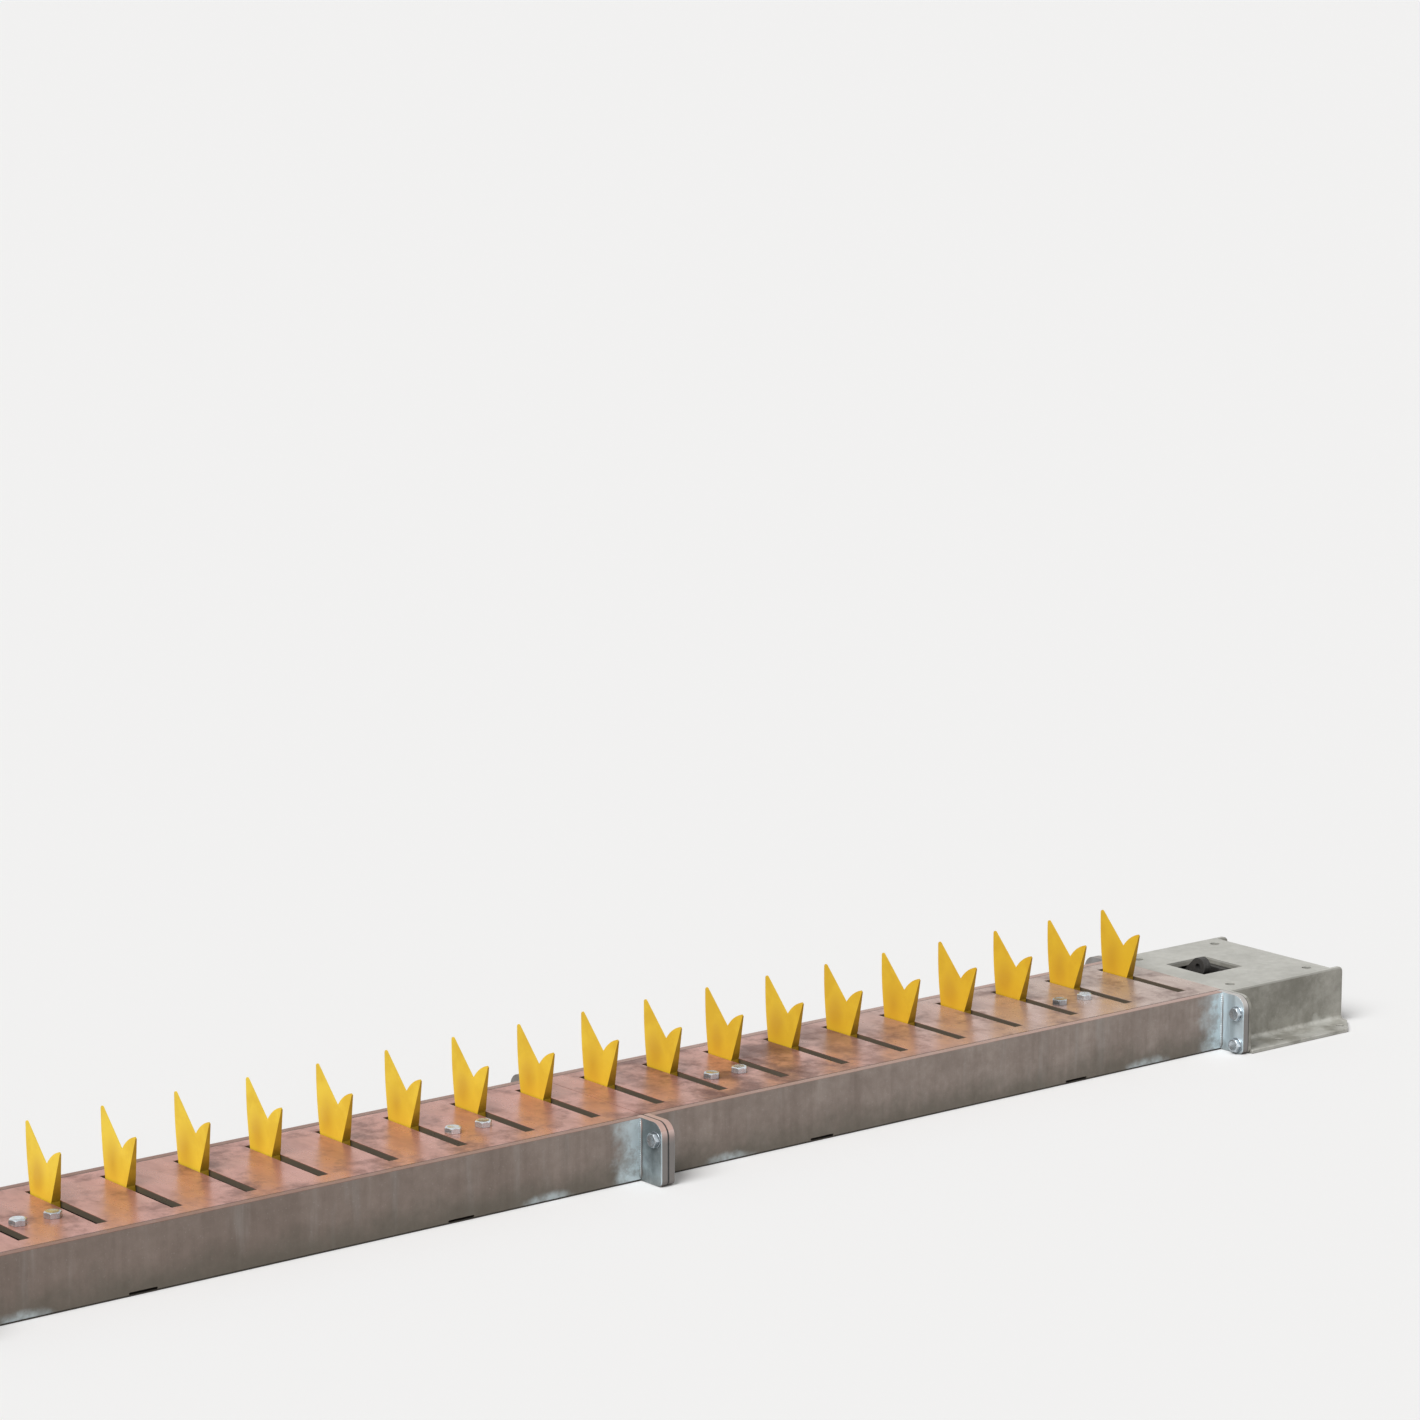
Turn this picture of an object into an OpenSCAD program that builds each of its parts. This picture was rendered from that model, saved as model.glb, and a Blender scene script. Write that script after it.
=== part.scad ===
// A road strip of two bolted sections with twenty folding tyre spikes, and the low
// steel base that carries its drive. Millimetres, +Z up, +X along the strip.
// The origin is under the middle of the whole length, on the ground.

/* [Strip] */
// Distance from one spike to the next
spike_pitch = 100; // [96:1:130]
// Width of the strip over its two rails
strip_w = 230; // [226:1:290]
// Height of the strip's top face above the ground
strip_h = 80; // [80:1:105]
// Thickness of the two side rails
rail_t = 10; // [6:0.5:12]
// Thickness of the cover plates
cover_t = 8; // [5:0.5:8]
// Open seam between a cover plate and its neighbours
seam_gap = 0.6; // [0.3:0.1:1]
// Length of a drain slot low in a rail
drain_len = 38; // [20:1:60]
// Height of a drain slot
drain_h = 3; // [2:0.5:6]
// Height of a drain slot's lower edge above the ground
drain_z = 1.5; // [1:0.5:8]
// Distance of a drain slot from the middle of its section
drain_offset = 220; // [180:1:240]

/* [End flanges] */
// Thickness of a section's end flange
flange_t = 10; // [8:0.5:12]
// How far an ear of a flange stands out beyond the rail
ear_reach = 42; // [40:1:45]
// Radius of an ear's upper outer corner
ear_top_r = 18; // [6:1:20]
// Radius of an ear's lower outer corner
ear_foot_r = 8; // [2:1:10]
// Distance of the joint bolts from the rail's outer face
joint_bolt_out = 30; // [28:0.5:31]
// Height of the single bolt at the joint between two sections
section_bolt_z = 59; // [40:1:60]
// Height of the upper bolt at the drive base
drive_bolt_high_z = 56; // [40:1:60]
// Height of the lower bolt at the drive base
drive_bolt_low_z = 12; // [12:1:20]
// Radial gap between the turning parts and the hole in a flange
shaft_hole_gap = 2; // [1:0.5:3]

/* [Spikes] */
// Thickness of a spike's plate
blade_t = 12; // [8:0.5:14]
// Gap between a spike and each side of its slot
slot_side_gap = 1.5; // [1:0.1:2.5]
// Gap between a lowered spike's tip and the front end of its slot
slot_front_gap = 3.2; // [2:0.1:6]
// Gap between a raised spike and the back end of its slot
slot_back_gap = 4; // [2:0.5:8]
// Height of the tall tip above the strip's top face
tip_h = 86.5; // [75:0.5:90]
// Radius of the tall tip
tip_r = 3.4; // [2:0.1:4]
// Height of the heel's tip above the strip's top face
heel_h = 65; // [60:0.5:66]
// How far the heel's tip stands forward of the shaft
heel_reach = 44.3; // [40:0.1:44.3]
// How far the heel's upper edge bulges from its chord
heel_bulge = 3.2; // [2:0.1:6]
// Height of the notch between tip and heel above the top face
notch_h = 43.5; // [38:0.5:46]
// How far the notch lies forward of the shaft
notch_forward = 13.2; // [10:0.1:16]
// Forward edge of a spike at the top face, from the shaft
blade_front = 21.4; // [18:0.1:23]
// Back edge of a spike at the top face, from the shaft
blade_back = 25.9; // [24:0.1:27]
// Gap of a lowered spike under the level of the top face
lowered_gap = 1.7; // [1:0.1:3]
// Width of the ground bevel on a spike's right side
bevel_w = 38; // [20:1:45]
// Thickness left along the ground edge
edge_land = 1.2; // [0.8:0.1:3]

/* [Shaft] */
// Diameter of the shaft
shaft_d = 25; // [20:0.5:26]
// How far the shaft lies behind the middle of the strip
shaft_back = 45.7; // [42:0.1:48]
// Radial running gap between shaft, sleeves and bushes
running_gap = 0.05; // [0.02:0.01:0.1]
// Outer diameter of a spike's sleeve
sleeve_d = 36; // [34:0.5:37]
// Length of the sleeve on a spike's left side
sleeve_left = 8; // [6:0.5:9]
// Outer diameter of a stop collar
collar_d = 48; // [46:0.5:50]
// Thickness of a stop collar's ring
collar_t = 7.5; // [6.5:0.5:8]
// Gap between a stop collar and the underside of the cover
collar_gap = 2; // [2:0.5:4]
// Length of the stop teeth
tooth_len = 6; // [4:0.5:6]
// Angle that a stop tooth spans
tooth_angle = 70; // [40:1:90]
// Angle left between two stop teeth that meet
tooth_gap_angle = 1; // [1:0.5:3]
// Wire diameter of a return spring
spring_wire = 3; // [2.5:0.1:3.4]
// Turns of a return spring
spring_turns = 5; // [4:0.25:5.5]
// Diameter of a stop collar's pin
collar_pin_d = 5; // [4:0.5:6]
// Thickness of a retaining ring
ring_t = 1.2; // [1:0.1:1.5]
// Depth that a retaining ring stands proud of the shaft
ring_h = 4; // [3:0.5:5]

/* [Coupling] */
// Outer diameter of a coupling hub
hub_d = 40; // [36:1:42]
// Length of a coupling hub
hub_len = 32; // [30:1:33]
// Thickness of the driving tongue on a shaft's right end
tongue_t = 12; // [8:0.5:14]
// Length of the driving tongue
tongue_len = 15; // [12:0.5:16]
// Diameter of a coupling pin
hub_pin_d = 8; // [5:0.5:8]

/* [Cross members] */
// Spikes between the middle of a section and its cross member
member_spikes = 3; // [2:1:4]
// Thickness of a cross member
member_t = 10; // [6:0.5:12]
// Outer diameter of the boss that holds a bush
boss_d = 46; // [42:1:48]
// Length of the boss and its bush
bush_len = 20; // [14:1:22]
// Outer diameter of a bush
bush_d = 32; // [30:0.5:34]
// Diameter of a bush's collar
bush_collar_d = 38; // [36:0.5:40]
// Thickness of a bush's collar
bush_collar_t = 2.5; // [1.5:0.5:3]
// Length of the pad under a pair of cover bolts
pad_len = 64; // [62:1:70]
// Width of the pad across the strip
pad_w = 40; // [30:1:44]
// Thickness of the pad
pad_t = 12; // [8:1:16]
// Distance between the two bolts on a pad
pad_bolt_gap = 45; // [42:1:46]
// How far the cover bolts lie forward of the middle of the strip
pad_forward = 25; // [22:1:40]
// How far the pad lies to the left of its cross member
pad_left = 5; // [0:1:6]

/* [Fasteners] */
// Thread diameter of the cover bolts
cover_bolt_d = 12; // [10:1:12]
// Width across flats of a cover bolt's head
cover_head_af = 19; // [16:1:20]
// Height of a cover bolt's head
cover_head_h = 7.5; // [6:0.5:9]
// Length of a cover bolt below its head
cover_bolt_len = 24; // [20:1:30]
// Thread diameter of the joint bolts
joint_bolt_d = 10; // [8:1:10]
// Width across flats of a joint bolt's head
joint_head_af = 17; // [14:1:18]
// Height of a joint bolt's head
joint_head_h = 6.4; // [5:0.2:8]
// Outer diameter of a joint washer
washer_d = 20; // [18:1:21]
// Thickness of a joint washer
washer_t = 2; // [1:0.5:2.5]
// How far a joint bolt's thread stands out of its threaded plate
thread_out = 1.6; // [0.5:0.1:3]
// Radial gap of a bolt in its clearance hole
bolt_hole_gap = 0.5; // [0.3:0.1:1]
// Radial gap of a joint bolt in its washers
washer_gap = 0.25; // [0.1:0.05:0.4]

/* [Anchor lugs] */
// Length of an anchor lug along the strip
lug_len = 60; // [40:1:70]
// Width of an anchor lug
lug_w = 40; // [30:1:42]
// Thickness of an anchor lug
lug_t = 6; // [4:0.5:8]
// Diameter of the hole in a lug
lug_hole_d = 14; // [10:0.5:16]
// Gap between a lug and its section's cross member
lug_gap = 25; // [15:1:35]

/* [Drive base] */
// Length of the drive base
base_len = 226; // [220:1:280]
// Sheet thickness of the base's walls
base_wall_t = 5; // [4:0.5:6]
// How far the base's feet stand out beyond the walls
foot_reach = 45; // [45:1:55]
// Where a foot begins, from the base's end plate
foot_start = 0; // [0:1:24]
// Length of the slanted end of a foot
foot_mitre = 34; // [10:1:36]
// Radius in the bend between wall and foot
bend_r = 6; // [3:0.5:8]
// Radius of the wall's upper outer corner
wall_corner_r = 8; // [4:0.5:12]
// Diameter of the anchor holes in the feet
foot_hole_d = 11; // [9:0.5:12]
// Distance of the right anchor hole from the end of the base
foot_hole_end = 30; // [29:1:34]
// Distance between the two anchor holes in a foot
foot_hole_gap = 120; // [90:1:130]
// Distance of the anchor holes from the wall
foot_hole_out = 26; // [18:1:27]
// Thickness of the base's top plate
top_t = 8; // [6:0.5:8]
// How far the outer wall stands in from the end of the base
outer_wall_inset = 21; // [15:1:26]
// Distance between the four cabinet holes along the strip
cabinet_gap_x = 150; // [140:1:154]
// Distance between the four cabinet holes across the strip
cabinet_gap_y = 180; // [150:1:190]
// Diameter of the cabinet holes
cabinet_hole_d = 13.5; // [9:0.5:15]
// Length of the lever's opening along the strip
window_len = 76; // [36:1:90]
// Width of the lever's opening across the strip
window_w = 75; // [72:1:84]
// Distance of the lever from the base's left end
lever_x = 78; // [77:1:79]
// Distance from the shaft to the lever's eye
lever_r = 44; // [38:0.5:44]
// Diameter of the lever's eye
eye_d = 10; // [8:0.5:14]
// Outer diameter of the lever's rounded end
lever_end_d = 26; // [22:0.5:26]
// Thickness of the lever
lever_t = 12; // [8:0.5:14]
// Length of the lever's hub
lever_hub_len = 24; // [20:1:26]

/* [Hidden] */
$fn = 64;
SECTIONS = 2;
SPIKES_PER_SECTION = 10;
// Turn of the shaft and of a spike between raised and lowered
SWING = 90;
// Overshoot of a cutting solid past the face that it opens
CUT = 1;
// Long enough to reach past any spike
FAR = 200;

section_len = SPIKES_PER_SECTION * spike_pitch;
strip_len = SECTIONS * section_len;
left_x = -(strip_len + base_len) / 2;
base_x = left_x + strip_len;

half_w = strip_w / 2;
inner_half_w = half_w - rail_t;
cover_z = strip_h - cover_t;
shaft_drop = cover_t + collar_gap + collar_d / 2;
shaft_z = strip_h - shaft_drop;
shaft_r = shaft_d / 2;
bore_r = shaft_r + running_gap;
blade_hub_r = collar_d / 2;
back_reach = shaft_drop - lowered_gap;
tip_radius_from_shaft = shaft_drop + tip_h;

slot_w = blade_t + 2 * slot_side_gap;
slot_front_y = shaft_back - tip_radius_from_shaft - slot_front_gap;
slot_back_y = shaft_back + back_reach + slot_back_gap;

// Places along the shaft, from a spike's middle
spring_gap = 0.6;
tooth_play = 0.5;
spring_x = blade_t / 2 + spring_gap;
collar_x = spring_x + spring_wire * (spring_turns + 1);
sleeve_right = collar_x - tooth_play - tooth_len;
spring_sleeve_gap = 1;
spring_in_r = sleeve_d / 2 + spring_sleeve_gap;
ring_gap = 0.5;
// Where the stop teeth begin, as an angle up from the back
TOOTH_FROM = -35;
// How far the teeth stay inside the sleeve's outer face
tooth_inset = 0.5;
tooth_r = sleeve_d / 2 - tooth_inset;

flange_hole_r = hub_d / 2 + shaft_hole_gap;
// Places along the shaft, from a section's left end
hub_x = 2;
shaft_start = 20;
// Slack at the bottom and the sides of a driving slot
tongue_slack = 1;
tongue_side_gap = 0.3;
hub_pin_x = (shaft_start + hub_x + hub_len) / 2;

// Gaps between a bracket's bush and the hub or the lever beside it
hub_bush_gap = 3;
lever_bush_gap = 7;
bracket_left_x = hub_x + hub_len + hub_bush_gap + bush_collar_t + bush_len / 2;
bracket_right_x = lever_x + lever_hub_len / 2 + lever_bush_gap + bush_collar_t + bush_len / 2;
crank_overhang = 4;
crank_end_x = bracket_right_x + bush_len / 2 + crank_overhang;
// Angle of the lever up from the back while the spikes are raised
lever_up = 135;
// How far a pin ends below the outside of its collar or hub
pin_inset = 1;

// A joint bolt passes the left plate of its pair and screws into the right one
joint_hole_r = joint_bolt_d / 2 + bolt_hole_gap;
joint_thread_r = joint_bolt_d / 2 + running_gap;
joint_y = half_w + joint_bolt_out;
// Thickness that a joint bolt holds together, between sections and at the base
section_grip = 2 * flange_t;
drive_grip = flange_t + base_wall_t;
outer_wall_x = base_len - outer_wall_inset - base_wall_t;
// Cross members stand halfway between two spikes
member_offset = member_spikes * spike_pitch;
lug_offset = member_offset + member_t / 2 + lug_gap + lug_len / 2;

// Left end of a section, counted from 0
function section_x(n) = left_x + n * section_len;
// Middle of a spike, counted from 1 at the left end
function spike_x(i) = left_x + (i - 0.5) * spike_pitch;
function spike_count() = SECTIONS * SPIKES_PER_SECTION;
// Middles of the cross members of all sections
function member_places() = [
    for (n = [0:SECTIONS - 1]) for (side = [-1, 1])
        section_x(n) + section_len / 2 + side * member_offset
];

// A flat drawing in Y and Z, given a thickness along X
module across(x, thickness) {
    translate([x, 0, 0]) rotate([90, 0, 90]) linear_extrude(thickness) children();
}

// A round bar along X about the shaft's axis
module shaft_bar(x, len, r) {
    translate([x, shaft_back, shaft_z]) rotate([0, 90, 0]) cylinder(h = len, r = r);
}

// A hexagon along X, measured across its flats
module hex_bar(x, len, across_flats) {
    translate([x, 0, 0]) rotate([0, 90, 0]) cylinder(h = len, d = across_flats / cos(30), $fn = 6);
}

// A wedge of a bar along the shaft, between two angles up from the back
module tooth(x, len, r, from, span) {
    translate([x, shaft_back, shaft_z]) rotate([90, 0, 90]) rotate(from)
        intersection() {
            cylinder(h = len, r = r);
            translate([0, 0, -CUT]) linear_extrude(len + 2 * CUT) polygon([
                [0, 0], [2 * r, 0], [2 * r, 2 * r * tan(span / 2)], 2 * r * [cos(span), sin(span)]
            ]);
        }
}

// One ear of a flange, drawn outwards from the rail's face
module ear_outline() {
    square([ear_reach - ear_top_r, strip_h]);
    square([ear_reach - ear_foot_r, strip_h / 2]);
    translate([0, ear_foot_r]) square([ear_reach, strip_h - ear_foot_r - ear_top_r]);
    translate([ear_reach - ear_top_r, strip_h - ear_top_r]) circle(ear_top_r);
    translate([ear_reach - ear_foot_r, ear_foot_r]) circle(ear_foot_r);
}

// A plate as wide as the strip with an ear at each side, a hole for the shaft and bolt holes
module eared_plate(bolt_heights, hole_r) {
    difference() {
        union() {
            translate([-half_w, 0]) square([strip_w, strip_h]);
            translate([half_w, 0]) ear_outline();
            mirror([1, 0]) translate([half_w, 0]) ear_outline();
        }
        translate([shaft_back, shaft_z]) circle(flange_hole_r);
        for (side = [-1, 1], z = bolt_heights)
            translate([side * joint_y, z]) circle(hole_r);
    }
}

// A section's flange, cut down between the rails as a seat for the cover
module section_flange(x, bolt_heights, hole_r) {
    color("silver") across(x, flange_t) difference() {
        eared_plate(bolt_heights, hole_r);
        translate([-inner_half_w, cover_z]) square([2 * inner_half_w, cover_t + CUT]);
    }
}

// A side rail between the two flanges of a section, with two drain slots
module rail(n, side) {
    middle = section_x(n) + section_len / 2;
    length = section_len - 2 * flange_t;
    outer_y = side * half_w;
    color("silver") difference() {
        translate([middle - length / 2, min(outer_y, outer_y - side * rail_t), 0])
            cube([length, rail_t, strip_h]);
        for (s = [-1, 1])
            translate([middle + s * drain_offset, outer_y - side * rail_t / 2, drain_z + drain_h / 2])
                rotate([90, 0, 0]) linear_extrude(rail_t + 2 * CUT, center = true) drain_outline();
    }
}

module drain_outline() {
    square([drain_len - drain_h, drain_h], center = true);
    for (s = [-1, 1])
        translate([s * (drain_len - drain_h) / 2, 0]) circle(d = drain_h);
}

// A section's cover plate with a slot for each spike
module cover(n) {
    color("rosybrown") difference() {
        translate([section_x(n) + seam_gap / 2, -inner_half_w + seam_gap, cover_z])
            cube([section_len - seam_gap, 2 * (inner_half_w - seam_gap), cover_t]);
        for (i = [1:SPIKES_PER_SECTION])
            translate([spike_x(n * SPIKES_PER_SECTION + i) - slot_w / 2, slot_front_y, cover_z - CUT])
                cube([slot_w, slot_back_y - slot_front_y, cover_t + 2 * CUT]);
        each_cover_bolt() translate([0, 0, cover_z - CUT])
            cylinder(h = cover_t + 2 * CUT, d = cover_bolt_d + 2 * bolt_hole_gap);
    }
}

// Puts its children at each cover bolt's axis
module each_cover_bolt() {
    for (x = member_places(), s = [-1, 1])
        translate([x - pad_left + s * pad_bolt_gap / 2, -pad_forward, 0]) children();
}

// Upright plates across the strip that carry the cover and the shaft's bushes
module cross_members() {
    color("gray") difference() {
        for (x = member_places()) union() {
            across(x - member_t / 2, member_t) bearing_plate_outline(inner_half_w, cover_z);
            shaft_bar(x - bush_len / 2, bush_len, boss_d / 2);
            translate([x - pad_left - pad_len / 2, -pad_forward - pad_w / 2, cover_z - pad_t])
                cube([pad_len, pad_w, pad_t]);
        }
        for (x = member_places()) bush_bore(x);
        each_cover_bolt() translate([0, 0, cover_z - pad_t - CUT])
            cylinder(h = pad_t + 2 * CUT, d = cover_bolt_d + 2 * running_gap);
    }
}

module bearing_plate_outline(half_width, height) {
    translate([-half_width, 0]) square([2 * half_width, height]);
}

module bush_bore(x) {
    shaft_bar(x - bush_len / 2 - CUT, bush_len + 2 * CUT, bush_d / 2 + running_gap);
}

function bracket_places() = [base_x + bracket_left_x, base_x + bracket_right_x];

// Collared bushes in the cross members and in the base's brackets
module shaft_bushes() {
    color("goldenrod") for (x = concat(member_places(), bracket_places())) difference() {
        union() {
            shaft_bar(x - bush_len / 2, bush_len, bush_d / 2);
            shaft_bar(x - bush_len / 2 - bush_collar_t, bush_collar_t, bush_collar_d / 2);
        }
        shaft_bar(x - bush_len / 2 - bush_collar_t - CUT, bush_len + bush_collar_t + 2 * CUT, bore_r);
    }
}

module cover_bolts() {
    color("lightsteelblue") each_cover_bolt() {
        translate([0, 0, strip_h]) rotate(15)
            cylinder(h = cover_head_h, d = cover_head_af / cos(30), $fn = 6);
        translate([0, 0, strip_h - cover_bolt_len]) cylinder(h = cover_bolt_len, d = cover_bolt_d);
    }
}

// Puts its children at each joint bolt, at the left face of its pair of plates
module each_section_joint_bolt() {
    for (n = [1:SECTIONS - 1], side = [-1, 1])
        translate([section_x(n) - flange_t, side * joint_y, section_bolt_z]) children();
}

module each_drive_joint_bolt() {
    for (side = [-1, 1], z = [drive_bolt_low_z, drive_bolt_high_z])
        translate([base_x - flange_t, side * joint_y, z]) children();
}

// A hex bolt from the left, screwed through the plate on the right
module joint_bolt(grip) {
    translate([-washer_t, 0, 0]) rotate([0, 90, 0])
        cylinder(h = washer_t + grip + thread_out, d = joint_bolt_d);
    hex_bar(-washer_t - joint_head_h, joint_head_h, joint_head_af);
}

module joint_bolts() {
    color("lightsteelblue") {
        each_section_joint_bolt() joint_bolt(section_grip);
        each_drive_joint_bolt() joint_bolt(drive_grip);
    }
}

// A washer under a joint bolt's head
module joint_washer() {
    translate([-washer_t, 0, 0]) rotate([0, 90, 0]) difference() {
        cylinder(h = washer_t, d = washer_d);
        translate([0, 0, -CUT]) cylinder(h = washer_t + 2 * CUT, r = joint_bolt_d / 2 + washer_gap);
    }
}

module joint_washers() {
    color("lightsteelblue") {
        each_section_joint_bolt() joint_washer();
        each_drive_joint_bolt() joint_washer();
    }
}

// Drilled plates on the ground inside both rails
module anchor_lugs() {
    color("silver") for (n = [0:SECTIONS - 1], s = [-1, 1], side = [-1, 1])
        translate([section_x(n) + section_len / 2 + s * lug_offset, side * (inner_half_w - lug_w / 2), 0])
            difference() {
                translate([-lug_len / 2, -lug_w / 2, 0]) cube([lug_len, lug_w, lug_t]);
                translate([0, 0, -CUT]) cylinder(h = lug_t + 2 * CUT, d = lug_hole_d);
            }
}

// A base wall's foot seen from its end, with the bend up into the wall
module foot_profile() {
    translate([-foot_reach, 0]) square([foot_reach + CUT, base_wall_t]);
    difference() {
        translate([-bend_r, base_wall_t - CUT]) square([bend_r + CUT, bend_r + CUT]);
        translate([-bend_r, base_wall_t + bend_r]) circle(bend_r);
    }
}

// The front wall of the base, with its foot on the ground
module base_wall() {
    wall_len = base_len - base_wall_t;
    translate([base_x + base_wall_t, -half_w, 0]) difference() {
        union() {
            cube([wall_len, base_wall_t, strip_h]);
            across(foot_start, wall_len - foot_start) foot_profile();
        }
        // the slanted end of the foot
        translate([wall_len, -foot_reach, -CUT]) linear_extrude(base_wall_t + 2 * CUT) polygon([
            [-foot_mitre, 0], [CUT, foot_mitre + CUT], [CUT, -CUT], [-foot_mitre - CUT, -CUT]
        ]);
        // the rounded upper corner of the wall
        translate([wall_len - wall_corner_r, -CUT, strip_h - wall_corner_r]) rotate([-90, 0, 0])
            difference() {
                translate([0, -wall_corner_r - CUT, 0])
                    cube([wall_corner_r + CUT, wall_corner_r + CUT, base_wall_t + 2 * CUT]);
                translate([0, 0, -CUT]) cylinder(h = base_wall_t + 4 * CUT, r = wall_corner_r);
            }
        for (x = [foot_hole_end, foot_hole_end + foot_hole_gap])
            translate([wall_len - x, -foot_hole_out, -CUT])
                cylinder(h = base_wall_t + 2 * CUT, d = foot_hole_d);
    }
}

module base_front_wall() { color("darkgray") base_wall(); }
module base_back_wall() { color("darkgray") mirror([0, 1, 0]) base_wall(); }

module base_end_plate() {
    color("darkgray") across(base_x, base_wall_t)
        eared_plate([drive_bolt_low_z, drive_bolt_high_z], joint_thread_r);
}

// The plate that a cabinet stands on, with a window for the lever
module base_top_plate() {
    length = outer_wall_x;
    middle_x = base_x + base_wall_t + length / 2;
    color("darkgray") difference() {
        translate([base_x + base_wall_t, -half_w + base_wall_t, strip_h - top_t])
            cube([length, strip_w - 2 * base_wall_t, top_t]);
        translate([base_x + lever_x - window_len / 2, window_front_y(), strip_h - top_t - CUT])
            cube([window_len, window_w, top_t + 2 * CUT]);
        for (sx = [-1, 1], sy = [-1, 1])
            translate([middle_x + sx * cabinet_gap_x / 2, sy * cabinet_gap_y / 2, strip_h - top_t - CUT])
                cylinder(h = top_t + 2 * CUT, d = cabinet_hole_d);
    }
}

// The window ends above the shaft and reaches forward past the lever
function window_front_y() = shaft_back - window_w;

module base_outer_wall() {
    color("darkgray") translate([base_x + outer_wall_x, -half_w + base_wall_t, 0])
        cube([base_wall_t, strip_w - 2 * base_wall_t, strip_h - top_t]);
}

// Two upright plates in the base that carry the crank shaft
module bearing_brackets() {
    color("gray") difference() {
        for (x = bracket_places()) union() {
            across(x - member_t / 2, member_t)
                bearing_plate_outline(half_w - base_wall_t, strip_h - top_t);
            shaft_bar(x - bush_len / 2, bush_len, boss_d / 2);
        }
        for (x = bracket_places()) bush_bore(x);
    }
}

// A pin or its hole across the shaft, lying fore and aft
module cross_pin(x, d, len) {
    translate([x, shaft_back, shaft_z]) rotate([90, 0, 0]) cylinder(h = len, d = d, center = true);
}

function collar_pin_x(i) = spike_x(i) + collar_x + collar_t / 2;
function collar_pin_len() = collar_d - 2 * pin_inset;
function hub_pin_len() = hub_d - 2 * pin_inset;

// The shaft of a section: a plain left end for the hub and a tongue at the right
module section_shaft(n) {
    start = section_x(n) + shaft_start;
    end = section_x(n) + section_len + hub_x + tongue_len;
    color("dimgray") difference() {
        shaft_bar(start, end - start, shaft_r);
        for (side = [-1, 1])
            translate([end - tongue_len, shaft_back, shaft_z + side * (tongue_t + shaft_d) / 2])
                translate([0, -shaft_d, -shaft_d / 2]) cube([tongue_len + CUT, 2 * shaft_d, shaft_d]);
        for (i = [1:SPIKES_PER_SECTION])
            cross_pin(collar_pin_x(n * SPIKES_PER_SECTION + i), collar_pin_d + 2 * running_gap, 2 * shaft_d);
        cross_pin(section_x(n) + hub_pin_x, hub_pin_d + 2 * running_gap, 2 * shaft_d);
    }
}

module shaft_left() { section_shaft(0); }
module shaft_right() { section_shaft(1); }

// The short shaft in the base, driven by the lever
module crank_shaft() {
    color("dimgray") difference() {
        shaft_bar(base_x + shaft_start, crank_end_x - shaft_start, shaft_r);
        cross_pin(base_x + hub_pin_x, hub_pin_d + 2 * running_gap, 2 * shaft_d);
        cross_pin(base_x + lever_pin_x(), hub_pin_d + 2 * running_gap, 2 * shaft_d);
    }
}

// The lever's pin goes through its hub, beside the arm
function lever_pin_x() = lever_x + lever_hub_len / 4 + lever_t / 4;

module crank_lever() {
    color("dimgray") difference() {
        union() {
            shaft_bar(base_x + lever_x - lever_hub_len / 2, lever_hub_len, hub_d / 2);
            translate([0, shaft_back, shaft_z]) across(base_x + lever_x - lever_t / 2, lever_t)
                rotate(lever_up) {
                    translate([0, -lever_end_d / 2]) square([lever_r, lever_end_d]);
                    translate([lever_r, 0]) circle(d = lever_end_d);
                }
        }
        shaft_bar(base_x + lever_x - lever_hub_len, 2 * lever_hub_len, bore_r);
        cross_pin(base_x + lever_pin_x(), hub_pin_d + 2 * running_gap, 2 * hub_d);
        translate([base_x + lever_x - lever_t, shaft_back, shaft_z]) rotate([lever_up, 0, 0])
            translate([0, lever_r, 0]) rotate([0, 90, 0]) cylinder(h = 2 * lever_t, d = eye_d);
    }
}

// A hub on the left end of each shaft, slotted for the tongue of its neighbour
module coupling_hubs() {
    color("slategray") for (n = [0:SECTIONS]) difference() {
        shaft_bar(section_x(n) + hub_x, hub_len, hub_d / 2);
        shaft_bar(section_x(n) + shaft_start, hub_len, bore_r);
        slot_h = tongue_t + 2 * tongue_side_gap;
        translate([section_x(n) + hub_x - CUT, shaft_back - hub_d, shaft_z - slot_h / 2])
            cube([tongue_len + tongue_slack + CUT, 2 * hub_d, slot_h]);
        cross_pin(section_x(n) + hub_pin_x, hub_pin_d + 2 * running_gap, 2 * hub_d);
    }
}

module coupling_pins() {
    color("silver") {
        for (n = [0:SECTIONS]) cross_pin(section_x(n) + hub_pin_x, hub_pin_d, hub_pin_len());
        cross_pin(base_x + lever_pin_x(), hub_pin_d, hub_pin_len());
    }
}

// A collar beside each spike, pinned to the shaft, with a tooth that stops and lowers the spike
module stop_collars() {
    color("slategray") for (i = [1:spike_count()]) difference() {
        union() {
            shaft_bar(spike_x(i) + collar_x, collar_t, collar_d / 2);
            tooth(spike_x(i) + collar_x - tooth_len, tooth_len + CUT, tooth_r,
                TOOTH_FROM - tooth_gap_angle - tooth_angle, tooth_angle);
        }
        shaft_bar(spike_x(i) + collar_x - tooth_len - CUT, collar_t + tooth_len + 2 * CUT, bore_r);
        cross_pin(collar_pin_x(i), collar_pin_d + 2 * running_gap, 2 * collar_d);
    }
}

module collar_pins() {
    color("silver") for (i = [1:spike_count()])
        cross_pin(collar_pin_x(i), collar_pin_d, collar_pin_len());
}

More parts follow.
